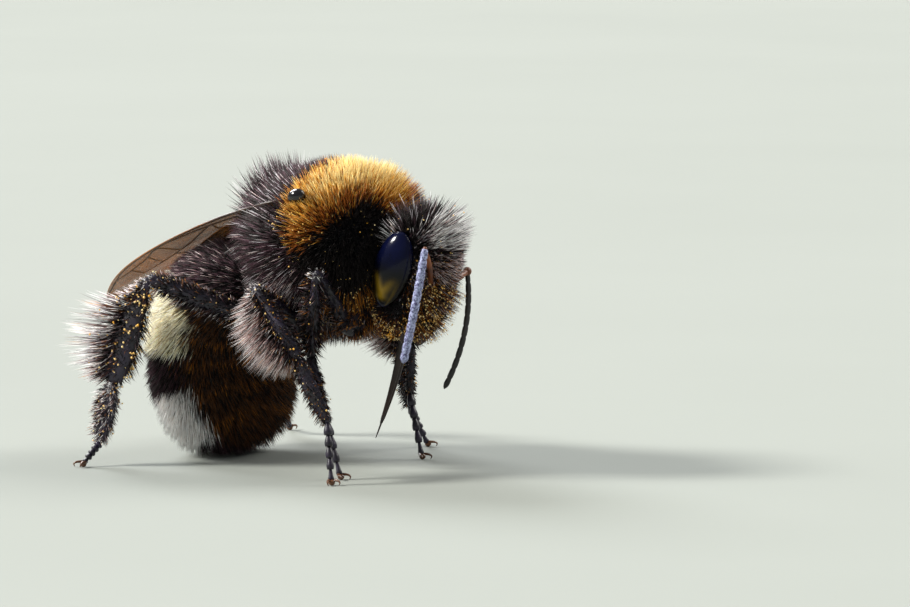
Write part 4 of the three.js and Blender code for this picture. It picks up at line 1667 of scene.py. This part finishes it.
@dataclass
class Leg:
    """One leg: its jointed shell, claws, spurs and hair."""

    pair: Pair
    side: Side

    @property
    def name(self) -> str:
        """The leg's name in the solids' names."""
        return f"{self.pair.value}_{self.side.word}"

    @property
    def joints(self) -> list[Vector]:
        """The six joints."""
        return [Vector(p) for p in LEG_JOINTS[(self.pair, self.side)]]

    def ways(self, i: int) -> tuple[Vector, Vector, Vector]:
        """Along a length of the leg, to its rear edge, and out of its broad face."""
        joints = self.joints
        along = (joints[i + 1] - joints[i]).normalized()
        out = Vector((0, self.side.value, 0))
        face = (out - along * out.dot(along)).normalized()
        rear = along.cross(face).normalized()
        if rear.x > 0:
            rear.negate()
        return along, rear, face

    def length_rod(self, i: int, profile: Sequence[float], thin: float, past: float = 0.06) -> Piece:
        """One length of the leg.

        Args:
            i: the number of its first joint.
            profile: half sizes from its first joint to the next.
            thin: its thickness as a share of its breadth.
            past: how far it runs past both joints.

        Returns:
            The length as a closed mesh.
        """
        joints = self.joints
        along, _, face = self.ways(i)
        start, end = joints[i] - along * past, joints[i + 1] + along * past
        steps = 22
        points, radii = [], []
        for k in range(steps + 1):
            t = k / steps
            points.append(start.lerp(end, t))
            size = float(np.interp(t, np.linspace(0, 1, len(profile)), profile))
            near_end = min(t, 1 - t, 0.06) / 0.06
            radii.append(max(size * math.sqrt(1 - (1 - near_end) ** 2), 0.01))
        rod = Bench.sweep(points, radii, 16)
        Bench.flatten(rod, (start + end) / 2, face, thin)
        return rod

    def foot(self) -> list[Piece]:
        """The four short joints and the clawed end."""
        joints = self.joints
        size = LEG_SIZES[self.pair].foot
        heel, toe = joints[4], joints[5] + Vector((0, 0, 0.17))
        step = (toe - heel) / 5
        parts = []
        for k in range(5):
            a, b = heel + step * k, heel + step * (k + 1.06)
            profile = (0.45, 0.62, 0.8, 0.98, 1.05, 0.9) if k < 4 else (0.4, 0.5, 0.6, 0.72, 0.9, 0.8)
            points = [a.lerp(b, t / 5) for t in range(6)]
            parts.append(Bench.sweep(points, [size * p * (1.12 - 0.06 * k) for p in profile], 12))
        return parts

    def claws(self) -> Piece:
        """Two hooked claws and the pad between them, standing on the floor."""
        joints = self.joints
        toe = joints[5] + Vector((0, 0, 0.17))
        ahead = joints[5] - joints[4]
        ahead.z = 0
        ahead.normalize()
        across = Vector((-ahead.y, ahead.x, 0))
        parts = [Bench.bead(toe + ahead * 0.06 - Vector((0, 0, 0.07)), 0.12, 0.1, 0.1)]
        steps = 8
        for s in (-1, 1):
            points, radii = [], []
            for k in range(steps + 1):
                t = k / steps
                out = across * s * (0.07 + 0.14 * math.sin(t * 2.4))
                drop = Vector((0, 0, 0.03 * math.sin(math.pi * t) - 0.16 * t**1.6))
                points.append(toe + out + ahead * 0.3 * math.sin(t * 2.0) + drop)
                radii.append(0.05 * (1 - t) ** 0.7 + 0.004)
            parts.append(Bench.sweep(points, radii, 8))
        return Bench.join(parts)

    def spurs(self) -> list[Piece]:
        """The spurs at the end of the tibia."""
        ankle = self.joints[HEEL]
        along, rear, face = self.ways(TIBIA)
        inner = -face
        radii = (0.04, 0.04, 0.032, 0.02, 0.004)
        parts = []
        for s in (-0.12, 0.12):
            start = ankle + inner * 0.12 + rear * s
            end = start + along * 0.42 + inner * 0.1
            parts.append(Bench.sweep([start.lerp(end, t / 4) for t in range(5)], radii, 8))
        return parts

    def shells(self) -> list[Piece]:
        """The hard lengths from hip to heel."""
        s = LEG_SIZES[self.pair]
        shin = [s.tibia * share for share in (0.62, 0.85, 1.0, 0.96, 0.7)]
        thigh = (0.2, s.femur, s.femur * 1.05, s.femur * 0.9, 0.2)
        ball = (0.14, s.heel * 0.95, s.heel, s.heel * 0.85, 0.14)
        coxa = self.length_rod(COXA, (0.42, 0.5, 0.46, 0.3), thin=0.9, past=0.25)
        femur = self.length_rod(FEMUR, thigh, thin=0.85)
        tibia = self.length_rod(TIBIA, (0.17, *shin), thin=s.tibia_thin / s.tibia)
        heel = self.length_rod(HEEL, ball, thin=s.heel_thin / s.heel * 1.1)
        return [coxa, femur, tibia, heel]

    def hair(self, i: int, shell: Piece, rng: Chance) -> Hair:
        """The hair of one length of the leg.

        Args:
            i: the number of its first joint.
            shell: the bare length.
            rng: the source of chance.

        Returns:
            Its hair.
        """
        joints, sizes = self.joints, LEG_SIZES[self.pair]
        along, rear, face = (np.array(v) for v in self.ways(i))
        start, run = np.array(joints[i]), (joints[i + 1] - joints[i]).length
        hind = self.pair is Pair.HIND
        fringed = i == TIBIA and self.pair is not Pair.FRONT
        dense = (360.0, 240.0, 300.0, 300.0)[i]
        brush = sizes.brush if i == TIBIA else 0.0

        def thick(points: Array) -> Array:
            """Hairs to the square millimetre, many more along the rear edge of a tibia."""
            away = points - start
            away = unit(away - (away @ along)[:, None] * along)
            return dense + brush * ramp(away @ rear, 0.1, 0.7)

        roots = Roots.sow(shell, thick, rng)
        t = (roots.points - start) @ along / run
        edge = roots.normals @ rear
        outer = roots.normals @ face
        keep = (t > 0.02) & (t < (1.15 if i == COXA else 1.0))
        if i == TIBIA and hind:
            keep &= ~((outer > 0.75) & (t > 0.25) & (rng.random(len(t)) < 0.65))
        roots, t, edge, outer = roots.keep(keep), t[keep], edge[keep], outer[keep]
        count = len(t)
        back = ramp(edge, 0.15, 0.75)
        front = ramp(-edge, 0.3, 0.9)
        body = np.sin(math.pi * np.clip(t, 0.02, 0.98)) ** 0.5
        # knee: where WHITE hairs paint a highlight on the knee, and the hair is shorter.
        knee = np.zeros(count)
        fan = np.full(count, 0.75)
        pale = np.zeros(count)
        length = np.full(count, 0.45)
        if fringed:
            reach = ramp(t, 0.08, 0.42) if hind else 1.0
            length = 0.24 + (sizes.fringe - 0.24) * back * body * reach
            length = length + (0.35 if hind else 0.1) * front * body
            pale = back
        if i == FEMUR:
            length = 0.3 + 0.12 * back
            knee = ramp(t, 0.86, 0.96)
            pale = 0.25 * back
        if i == TIBIA:
            knee = ramp(-t, -0.1, -0.04)
            fan = 0.75 * (1 - back) + 1.1 * (t - (0.1 if hind else 0.4)) * back
        if i == HEEL:
            length = (0.28 if hind else 0.2) + 0.1 * back
            pale = np.full(count, 0.8 if hind else 0.0)
        length = length * rng.uniform(0.5, 1.15, count) * (1 - 0.45 * knee)
        lean = along[None] * fan[:, None] + rear[None] * (0.9 * back)[:, None]
        kinds = choose(rng, {
            Kind.BLACK: 0.6 - 0.55 * pale,
            Kind.PLUM: 0.25 - 0.2 * pale,
            Kind.SILVER: (0.6 if hind else 0.15) * pale + 0.03,
            Kind.ROSY: (0.2 if hind else 0.8) * pale + 0.02,
            Kind.BROWN: 0.2 if i == HEEL else 0.1,
            # The WHITE share at the knee is a painted highlight.
            Kind.WHITE: (0.4 if hind else 0.28) * pale + 0.5 * knee,
            Kind.DUSTED: 0.7 if i == COXA else 0.05,
        })
        angle = np.arctan2(edge, outer) / (2 * math.pi) + 0.5
        slot = list(LEG_JOINTS).index((self.pair, self.side)) % 3
        across = (slot + 0.04 + 0.92 * angle) / 3
        down = (i + 0.04 + 0.92 * np.clip(t, 0, 1)) / 4
        places = np.stack([across, down], axis=1)
        width = np.full(count, LEG_HAIR)
        return Hair(roots, lean, length, width, kinds, places, wild=0.2, clump=9, pull=0.55)

    def near_front(self, points: Array) -> Array:
        """How near places lie to the front edge of the tibia, from 0 to 1."""
        along, rear, face = (np.array(v) for v in self.ways(TIBIA))
        start = np.array(self.joints[TIBIA]) - rear * LEG_SIZES[self.pair].tibia * 0.7 + face * 0.1
        away = points - start
        share = away @ along / (self.joints[HEEL] - self.joints[TIBIA]).length
        gap = np.linalg.norm(away - (away @ along)[:, None] * along, axis=1)
        return ramp(-gap, -0.5, -0.15) * ramp(share, 0.05, 0.25) * ramp(-share, -1.1, -0.9)

    def build(self, shell: Finish, claw: Finish, rng: Chance) -> list[Hair]:
        """Makes the leg's shell and claws and grows its hair.

        Args:
            shell: the finish of its lengths.
            claw: the finish of its claws.
            rng: the source of chance.

        Returns:
            The hair of its lengths, still to be made into a piece.
        """
        shells = self.shells()
        hairs = [self.hair(i, rod, rng) for i, rod in enumerate(shells)]
        whole = Bench.join([*shells, *self.foot(), *self.spurs()])
        parts = ("coxa", "femur", "tibia", "basitarsus", "tarsus")
        Bench.settle(whole, f"leg_{self.name}", shell, "chitin", [f"leg_{self.name}_{p}" for p in parts])
        Bench.settle(self.claws(), f"claws_{self.name}", claw, "chitin")
        return hairs


def joined_hair(name: str, hairs: Sequence[Hair], rng: Chance) -> Piece:
    """Several hairs as one piece of hair, under one name."""
    return Bench.join([hair.build(f"{name}_{i}" if i else name, rng) for i, hair in enumerate(hairs)])


# ---------------------------------------------------------------- wings


@dataclass(frozen=True)
class WingPlan:
    """One wing's outline in its own plane: length, chord, the width of its root and its arch."""

    length: float
    chord: float
    root: float
    arch: float = 0.5

    def edges(self, s: Array) -> tuple[Array, Array]:
        """The wing's outline.

        Args:
            s: shares from root to tip.

        Returns:
            The front and the rear edge there.
        """
        length, chord, root = self.length, self.chord, self.root
        break_at = 0.72
        tip = (length, chord * 0.22)
        corner = (length * break_at, chord * 0.82)
        front = double_bow(s, (0, -root / 2), (length * 0.35, -root / 2), (length * 0.8, -chord * 0.32), tip)
        inner = double_bow(
            np.clip(s / break_at, 0, 1),
            (0, root / 2), (length * 0.28, root * 0.75), (length * 0.52, chord * 0.84), corner,
        )
        outer = double_bow(
            np.clip((s - break_at) / (1 - break_at), 0, 1),
            corner, (length * 0.88, chord * 0.8), (length * 1.02, chord * 0.55), tip,
        )
        return front, np.where((s < break_at)[:, None], inner, outer)

    def at(self, s: Array, v: Array) -> Array:
        """Places on the rippled sheet, at shares along and across it."""
        front, rear = self.edges(np.atleast_1d(np.asarray(s, float)))
        v = np.atleast_1d(np.asarray(v, float))
        flat = front * (1 - v[:, None]) + rear * v[:, None]
        s = np.asarray(s)
        ripple = 0.07 * np.sin(v * 11.0 + 0.6) * (1 - 0.65 * s) + 0.03 * np.sin(s * 9.0)
        ripple = ripple + self.arch * np.sin(math.pi * s)
        return np.concatenate([flat, np.broadcast_to(ripple, v.shape)[:, None]], axis=1)


FOREWING = WingPlan(10.1, 2.9, 0.7)
HINDWING = WingPlan(6.4, 1.7, 0.8)

# Veins as lines of (along, across) shares, with the radius of each.
FORE_VEINS = (
    (0.05, ((0.0, 0.02), (0.3, 0.02), (0.6, 0.03), (0.8, 0.04), (0.95, 0.2))),
    (0.045, ((0.0, 0.4), (0.25, 0.24), (0.5, 0.1), (0.58, 0.05))),
    (0.035, ((0.58, 0.06), (0.68, 0.16), (0.8, 0.17), (0.9, 0.08))),
    (0.035, ((0.36, 0.2), (0.5, 0.38), (0.62, 0.42), (0.78, 0.4))),
    (0.03, ((0.58, 0.08), (0.56, 0.4))),
    (0.03, ((0.66, 0.15), (0.68, 0.42))),
    (0.03, ((0.77, 0.18), (0.77, 0.4))),
    (0.035, ((0.02, 0.6), (0.25, 0.6), (0.42, 0.62), (0.6, 0.68), (0.72, 0.66))),
    (0.03, ((0.34, 0.22), (0.36, 0.6))),
    (0.03, ((0.6, 0.42), (0.62, 0.68))),
    (0.03, ((0.02, 0.85), (0.2, 0.84), (0.42, 0.9))),
)
HIND_VEINS = (
    (0.04, ((0.0, 0.04), (0.35, 0.04), (0.7, 0.05))),
    (0.03, ((0.0, 0.4), (0.3, 0.3), (0.55, 0.2), (0.8, 0.24))),
    (0.03, ((0.02, 0.7), (0.3, 0.62), (0.6, 0.66))),
    (0.028, ((0.4, 0.27), (0.44, 0.64))),
)


@dataclass
class WingPair:
    """The fore and hind wing of one side, folded back over the abdomen.

    Args:
        side: its side.
        slope: degrees by which the wings fall towards their tips.
        lift: how far their roots are raised.
        roll: degrees by which their rear edges are turned up.
        sweep: degrees by which they close over the back.
        root: the root of the wings, for the left side.
        hang: how far the wings' own plane starts behind the root.
    """

    side: Side
    slope: float
    lift: float
    roll: float
    sweep: float = 5.2
    root: Point = (0.2, 2.26, 1.64)
    hang: float = 0.312

    @property
    def fold(self) -> Matrix:
        """From the wing's own plane to its folded place."""
        hand = self.side.value
        x, y, z = self.root
        turn = (
            Matrix.Translation((x - self.hang, y * hand, z + self.lift))
            @ Matrix.Rotation(math.radians(-self.slope), 4, "Y")
            @ Matrix.Rotation(math.radians(180 + self.sweep * hand), 4, "Z")
            @ Matrix.Rotation(math.radians(self.roll * hand), 4, "X")
        )
        return turn @ Matrix.Diagonal((1, hand, 1, 1))

    def above(self, points: Array) -> Array:
        """How high places on this side of the abdomen lie over the fore wing; -2 elsewhere."""
        x, _, z = self.unfold(points)
        sheet = FOREWING.arch * np.sin(math.pi * np.clip(x / FOREWING.length, 0, 1))
        mine = ramp(points[:, 1] * self.side.value, -0.8, 0.1) * ramp(-points[:, 0], 2.7, 3.5)
        return (z - sheet + 2.0) * mine - 2.0

    def unfold(self, points: Array) -> Array:
        """Places read in the wing's own plane: along it, across it and up from it."""
        back = np.array(self.fold.inverted())
        return (points @ back[:3, :3].T + back[:3, 3]).T

    def covers(self, points: Array) -> Array:
        """Which places have a wing of this side over or under them."""
        x, y, _ = self.unfold(points)
        width = np.interp(x, (0.0, 1.5, 3.0, 5.0, 7.3, 10.0), (0.4, 0.7, 1.3, 2.2, 2.6, 1.6))
        return (x > -0.5) & (x < FOREWING.length + 0.3) & (y < width + 0.3)

    @property
    def hind_place(self) -> Matrix:
        """The hind wing's place in the fore wing's plane."""
        return Matrix.Translation((0.9, 0.3, -0.1)) @ Matrix.Rotation(math.radians(10), 4, "Z")

    def sheet(self, plan: WingPlan, place: Matrix) -> Piece:
        """The thin rippled membrane of one wing."""
        Bench.clear()
        middle = (0.5, 0.5, 0)
        bpy.ops.mesh.primitive_grid_add(x_subdivisions=72, y_subdivisions=22, size=1.0, location=middle)
        bpy.ops.object.transform_apply(location=True, rotation=True, scale=True)
        obj = bpy.context.object
        flat = points_of(obj)
        move_points(obj, plan.at(np.clip(flat[:, 0], 0, 0.996), np.clip(flat[:, 1], 0, 1)))
        Bench.apply(obj, "SOLIDIFY", thickness=0.03, offset=0.0)
        return self.folded(obj, place)

    def veins(self, plan: WingPlan, lines: Sequence, place: Matrix) -> Piece:
        """The veins of one wing, as rods that lie in the membrane."""
        rods = []
        for radius, knots in lines:
            s, v = np.array(knots).T
            t = np.linspace(0, 1, 14)
            at = np.linspace(0, 1, len(s))
            points = plan.at(np.interp(t, at, s), np.interp(t, at, v))
            rods.append(Bench.sweep(points, radius * (1 - 0.45 * t), 8))
        return self.folded(Bench.join(rods), place)

    def folded(self, obj: Piece, place: Matrix) -> Piece:
        """Brings a piece from its wing's plane to the folded place."""
        obj.data.transform(self.fold @ place)
        Bench.mend(obj, FINE_WELD)
        return obj

    def build(self, film: Finish, vein: Finish) -> None:
        """Makes both wings and hands them over."""
        word = self.side.word
        for name, plan, lines, place in (
            ("forewing", FOREWING, FORE_VEINS, Matrix.Identity(4)),
            ("hindwing", HINDWING, HIND_VEINS, self.hind_place),
        ):
            Bench.settle(self.sheet(plan, place), f"{name}_film_{word}", film, "wing", [f"{name}_{word}"])
            Bench.settle(self.veins(plan, lines, place), f"{name}_veins_{word}", vein, "wing")


WINGS = {
    Side.RIGHT: WingPair(Side.RIGHT, 22.4, 0.06, -10.0),
    Side.LEFT: WingPair(Side.LEFT, 25.5, -0.3, -3.0),
}


@dataclass
class Tegula:
    """The smooth cap over the root of the wings."""

    side: Side
    at: Point = (0.26, 2.54, 1.88)
    half: Point = (0.34, 0.28, 0.26)

    def build(self, shell: Finish) -> None:
        """Makes the cap with a turned-down rim and hands it over."""
        x, y, z = self.at
        middle = Vector((x, y * self.side.value, z))
        cap = Bench.lump(middle, self.half, THORAX.turn, 40, 24)
        with Bench.shaping(cap, lambda co: co.z < middle.z - 0.1):
            bpy.ops.transform.resize(value=(1.06, 1.06, 0.8), center_override=middle)
        Bench.apply(cap, "SMOOTH", factor=0.5, iterations=3)
        Bench.settle(cap, f"tegula_cap_{self.side.word}", shell, "chitin", [f"tegula_{self.side.word}"])


# ---------------------------------------------------------------- pollen


@dataclass
class Pollen:
    """Grains of pollen of about one radius, caught in one part of the coat."""

    part: str
    radius: float

    def grains(self, at: Array, rng: Chance) -> Piece:
        """Many grains as one mesh, copied from one small ball.

        Args:
            at: their places.
            rng: the source of chance.

        Returns:
            The object, in millimetres.
        """
        Bench.clear()
        bpy.ops.mesh.primitive_ico_sphere_add(subdivisions=1, radius=1.0, location=(0, 0, 0))
        ball = bpy.context.object
        points = points_of(ball)
        faces = np.array([tuple(p.vertices) for p in ball.data.polygons], np.int32)
        bpy.data.objects.remove(ball)
        size = self.radius * rng.uniform(0.5, 1.5, (len(at), 1, 1))
        verts = at[:, None] + points[None] * size
        across = math.ceil(math.sqrt(len(at)))
        cell = (np.stack(np.divmod(np.arange(len(at)), across), axis=1) + 0.5) / across
        uv = cell[:, None] + points[None, :, :2] * PATCH / 2
        return copies_mesh(f"pollen_{self.part}", verts, faces, np.ones_like(verts), uv)


# ---------------------------------------------------------------- studio


@dataclass(frozen=True)
class Lamp:
    """One soft lamp, far enough away that it lights bee and floor evenly.

    Args:
        name: its name.
        toward: the way to it from the bee.
        spread: its width as the bee sees it, in degrees.
        strength: of its light.
        colour: of its light.
    """

    name: str
    toward: Point
    spread: float
    strength: float
    colour: Colour


LAMPS = (
    Lamp("key", (-165, -130, 168), 14, 4.8, (1.0, 0.97, 0.92)),
    Lamp("crest", (110, 200, 200), 34, 2.2, (1.0, 0.96, 0.92)),
    Lamp("rim", (-210, 90, 170), 30, 3.2, (0.97, 0.98, 1.0)),
    Lamp("side", (-220, -90, 30), 40, 2.1, (1.0, 0.97, 0.94)),
    Lamp("fill", (230, -160, 110), 60, 0.35, (0.95, 1.0, 1.0)),
)


@dataclass
class Studio:
    """The pale floor, the soft lamps and the camera.

    Args:
        target: what the camera looks at, around the thorax.
        toward: the way to the camera from there.
        distance: how far off the camera stands.
        lens: its focal length.
    """

    target: Point = (3.298, 2.153, -1.873)
    toward: Point = (0.5846, -0.8046, 0.1045)
    distance: float = 200.0
    lens: float = 237.4

    def spot(self, point: Sequence[float]) -> Vector:
        """A place around the thorax, in the frame."""
        return BEE_MIDDLE + Vector(point) * MM

    def camera(self) -> None:
        """Sets up the camera."""
        data = bpy.data.cameras.new("camera")
        data.lens, data.sensor_width = self.lens, 36.0
        data.clip_start, data.clip_end = 0.01, 5.0
        obj = bpy.data.objects.new("camera", data)
        bpy.context.scene.collection.objects.link(obj)
        away = Vector(self.toward).normalized()
        obj.location = self.spot(self.target) + away * self.distance * MM
        obj.rotation_euler = away.to_track_quat("Z", "Y").to_euler()
        bpy.context.scene.camera = obj

    def light(self, lamp: Lamp) -> None:
        """Hangs one lamp; the widest leave no highlight."""
        data = bpy.data.lights.new(lamp.name, "SUN")
        data.angle, data.energy, data.color = math.radians(lamp.spread), lamp.strength, lamp.colour
        obj = bpy.data.objects.new(lamp.name, data)
        bpy.context.scene.collection.objects.link(obj)
        obj.location = self.spot(lamp.toward)
        obj.rotation_euler = Vector(lamp.toward).to_track_quat("Z", "Y").to_euler()
        obj.visible_glossy = lamp.spread < 40

    def build(self) -> None:
        """Makes the whole studio."""
        Bench.clear()
        bpy.ops.mesh.primitive_plane_add(size=6.0, location=(0, 0, 0))
        floor = bpy.context.object
        floor.name = floor.data.name = "floor"
        material, nodes = finish("floor_paper")
        mottle = nodes.mottle((0.27, 0.29, 0.265), (0.26, 0.28, 0.255), Scale=30.0, Grain=3000.0)
        nodes.surface(Base_Color=mottle.outputs["Colour"], Roughness=0.9)
        floor.data.materials.append(material)

        world = bpy.data.worlds.new("studio")
        world.use_nodes = True
        bpy.context.scene.world = world
        backdrop = world.node_tree.nodes["Background"]
        backdrop.inputs["Color"].default_value = (0.86, 0.9, 0.92, 1)
        backdrop.inputs["Strength"].default_value = 0.28
        for lamp in LAMPS:
            self.light(lamp)
        self.camera()
        bpy.context.scene.view_settings.view_transform = "Standard"


# ---------------------------------------------------------------- assembly


def grow_legs(shell: Finish, claw: Finish, rng: Chance) -> Array:
    """Builds the six legs with their hair.

    Args:
        shell: the finish of the lengths.
        claw: the finish of the claws.
        rng: the source of chance.

    Returns:
        Places in the leg hair where pollen may hang.
    """
    fur = Fur("leg_fur", roughness=0.4).make()
    caught = []
    for side in Side:
        hairs = [h for pair in Pair for h in Leg(pair, side).build(shell, claw, rng)]
        piece = joined_hair(f"coat_legs_{side.word}", hairs, rng)
        points = points_of(piece)
        caught.append(points[STRAND - 1 :: STRAND] * 0.5 + points[::STRAND] * 0.5)
        Bench.settle(piece, f"coat_legs_{side.word}", fur, "black_fur")
    return np.concatenate(caught)


def scatter_pollen(coat: BodyCoat, leg_tips: Array, rng: Chance) -> None:
    """Hangs pollen in the coat of the face, the collar's edge and the legs.

    Args:
        coat: the grown coat.
        leg_tips: places in the leg hair.
        rng: the source of chance.
    """
    golden = Grain().make()

    def pick(points: Array, weight: Array, count: int) -> Array:
        """Draws places by weight, and moves each a little off its tip."""
        patches = np.sin(points * 7.3 + 1.0).prod(1) + 0.6 * np.sin(points[:, ::-1] * 13.1).prod(1)
        weight = weight * (0.12 + ramp(patches, -0.05, 0.35))
        chosen = rng.choice(len(points), count, replace=False, p=weight / weight.sum())
        return points[chosen] + rng.normal(0, 0.05, (count, 3))

    def caught(*names: str) -> Array:
        """Places near the tips of the hairs of some pieces."""
        return np.concatenate([coat.kept[n].points * 0.22 + coat.tips[n] * 0.78 for n in names])

    face = caught("coat_face", "coat_crown")
    x, _, z = HEAD.local(face).T
    dusty = 0.03 + ramp(x, 0.4, 1.0) * ramp(-z, -0.5, 0.5) * 1.2 + ramp(-z, 0.9, 1.5)
    on_face = pick(face, dusty, 2400)
    body = caught("coat_collar", "coat_thorax_front")
    x, _, z = THORAX.local(body).T
    edge = ramp(-np.abs(z - 0.7), -0.9, 0.0) * ramp(-x, -1.6, -0.4)
    on_body = pick(body, 0.06 + edge + 0.7 * ramp(-z, 1.5, 2.2), 800)
    on_legs = pick(leg_tips, 0.5 + 1.0 * ramp(-leg_tips[:, 0], 4.4, 5.2), 1000)
    edges = np.maximum(*[Leg(Pair.HIND, side).near_front(leg_tips) for side in Side])
    beads = pick(leg_tips, 1e-6 + edges, 150)
    for pollen, at in (
        (Pollen("head", 0.021), on_face),
        (Pollen("thorax", 0.021), on_body),
        (Pollen("legs", 0.026), on_legs),
        (Pollen("beads", 0.038), beads),
    ):
        Bench.settle(pollen.grains(at, rng), f"pollen_{pollen.part}", golden, "gold_fur")


def main() -> None:
    """Builds the bee from its skin outwards, then the studio around it."""
    logging.basicConfig(level=logging.INFO, format="%(name)s %(message)s")
    rng = np.random.default_rng(SEED)
    Studio().build()

    body = BodySkin()
    skin = body.build()
    coat = BodyCoat()
    coat.build(skin, rng)
    body.dress()

    gloss = EyeGloss().make()
    for side in Side:
        eye = CompoundEye(side)
        eye.dress(eye.build(), gloss)
    Ocelli().build(gloss)

    shell = Shell("leg_shell", "0c0912", "282036", roughness=0.42, coat=0.1).make()
    claw = Shell("claw_shell", "4a2a14", "6e4526", roughness=0.3).make()
    # The right feeler's pale lilac-blue is painted sheen; the dark shell of the left one is the feelers' own
    # colour.
    whip = Shell(
        "whip_shell", "3a2e60", "bcc6ea", roughness=0.5, coat=0.05, scale=16000.0, bump=0.00002
    ).make()
    dark_whip = Shell("dark_whip_shell", "0e0c0d", "1c181a", roughness=0.45, coat=0.1).make()
    rod = Shell("scape_shell", "4a220a", "96501a", roughness=0.45, coat=0.05).make()
    jaw = Shell("jaw_shell", "120805", "2a1209", roughness=0.55, coat=0.1).make()
    Antenna(Side.RIGHT, scape=0.085).build(whip, rod)
    Antenna(Side.LEFT, radius=0.1, knob=0.15).build(dark_whip, rod)
    Mouth().build(jaw)

    film = Membrane().make()
    vein = Shell("vein_shell", "2c1a0e", "46301c", roughness=0.4, coat=0.1).make()
    for wings in WINGS.values():
        wings.build(film, vein)
    cap = Shell("cap_shell", "0b090a", "181214", roughness=0.16, coat=0.25).make()
    for side in Side:
        Tegula(side).build(cap)

    leg_tips = grow_legs(shell, claw, rng)
    scatter_pollen(coat, leg_tips, rng)

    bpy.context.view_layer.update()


if __name__ == "__main__":
    main()
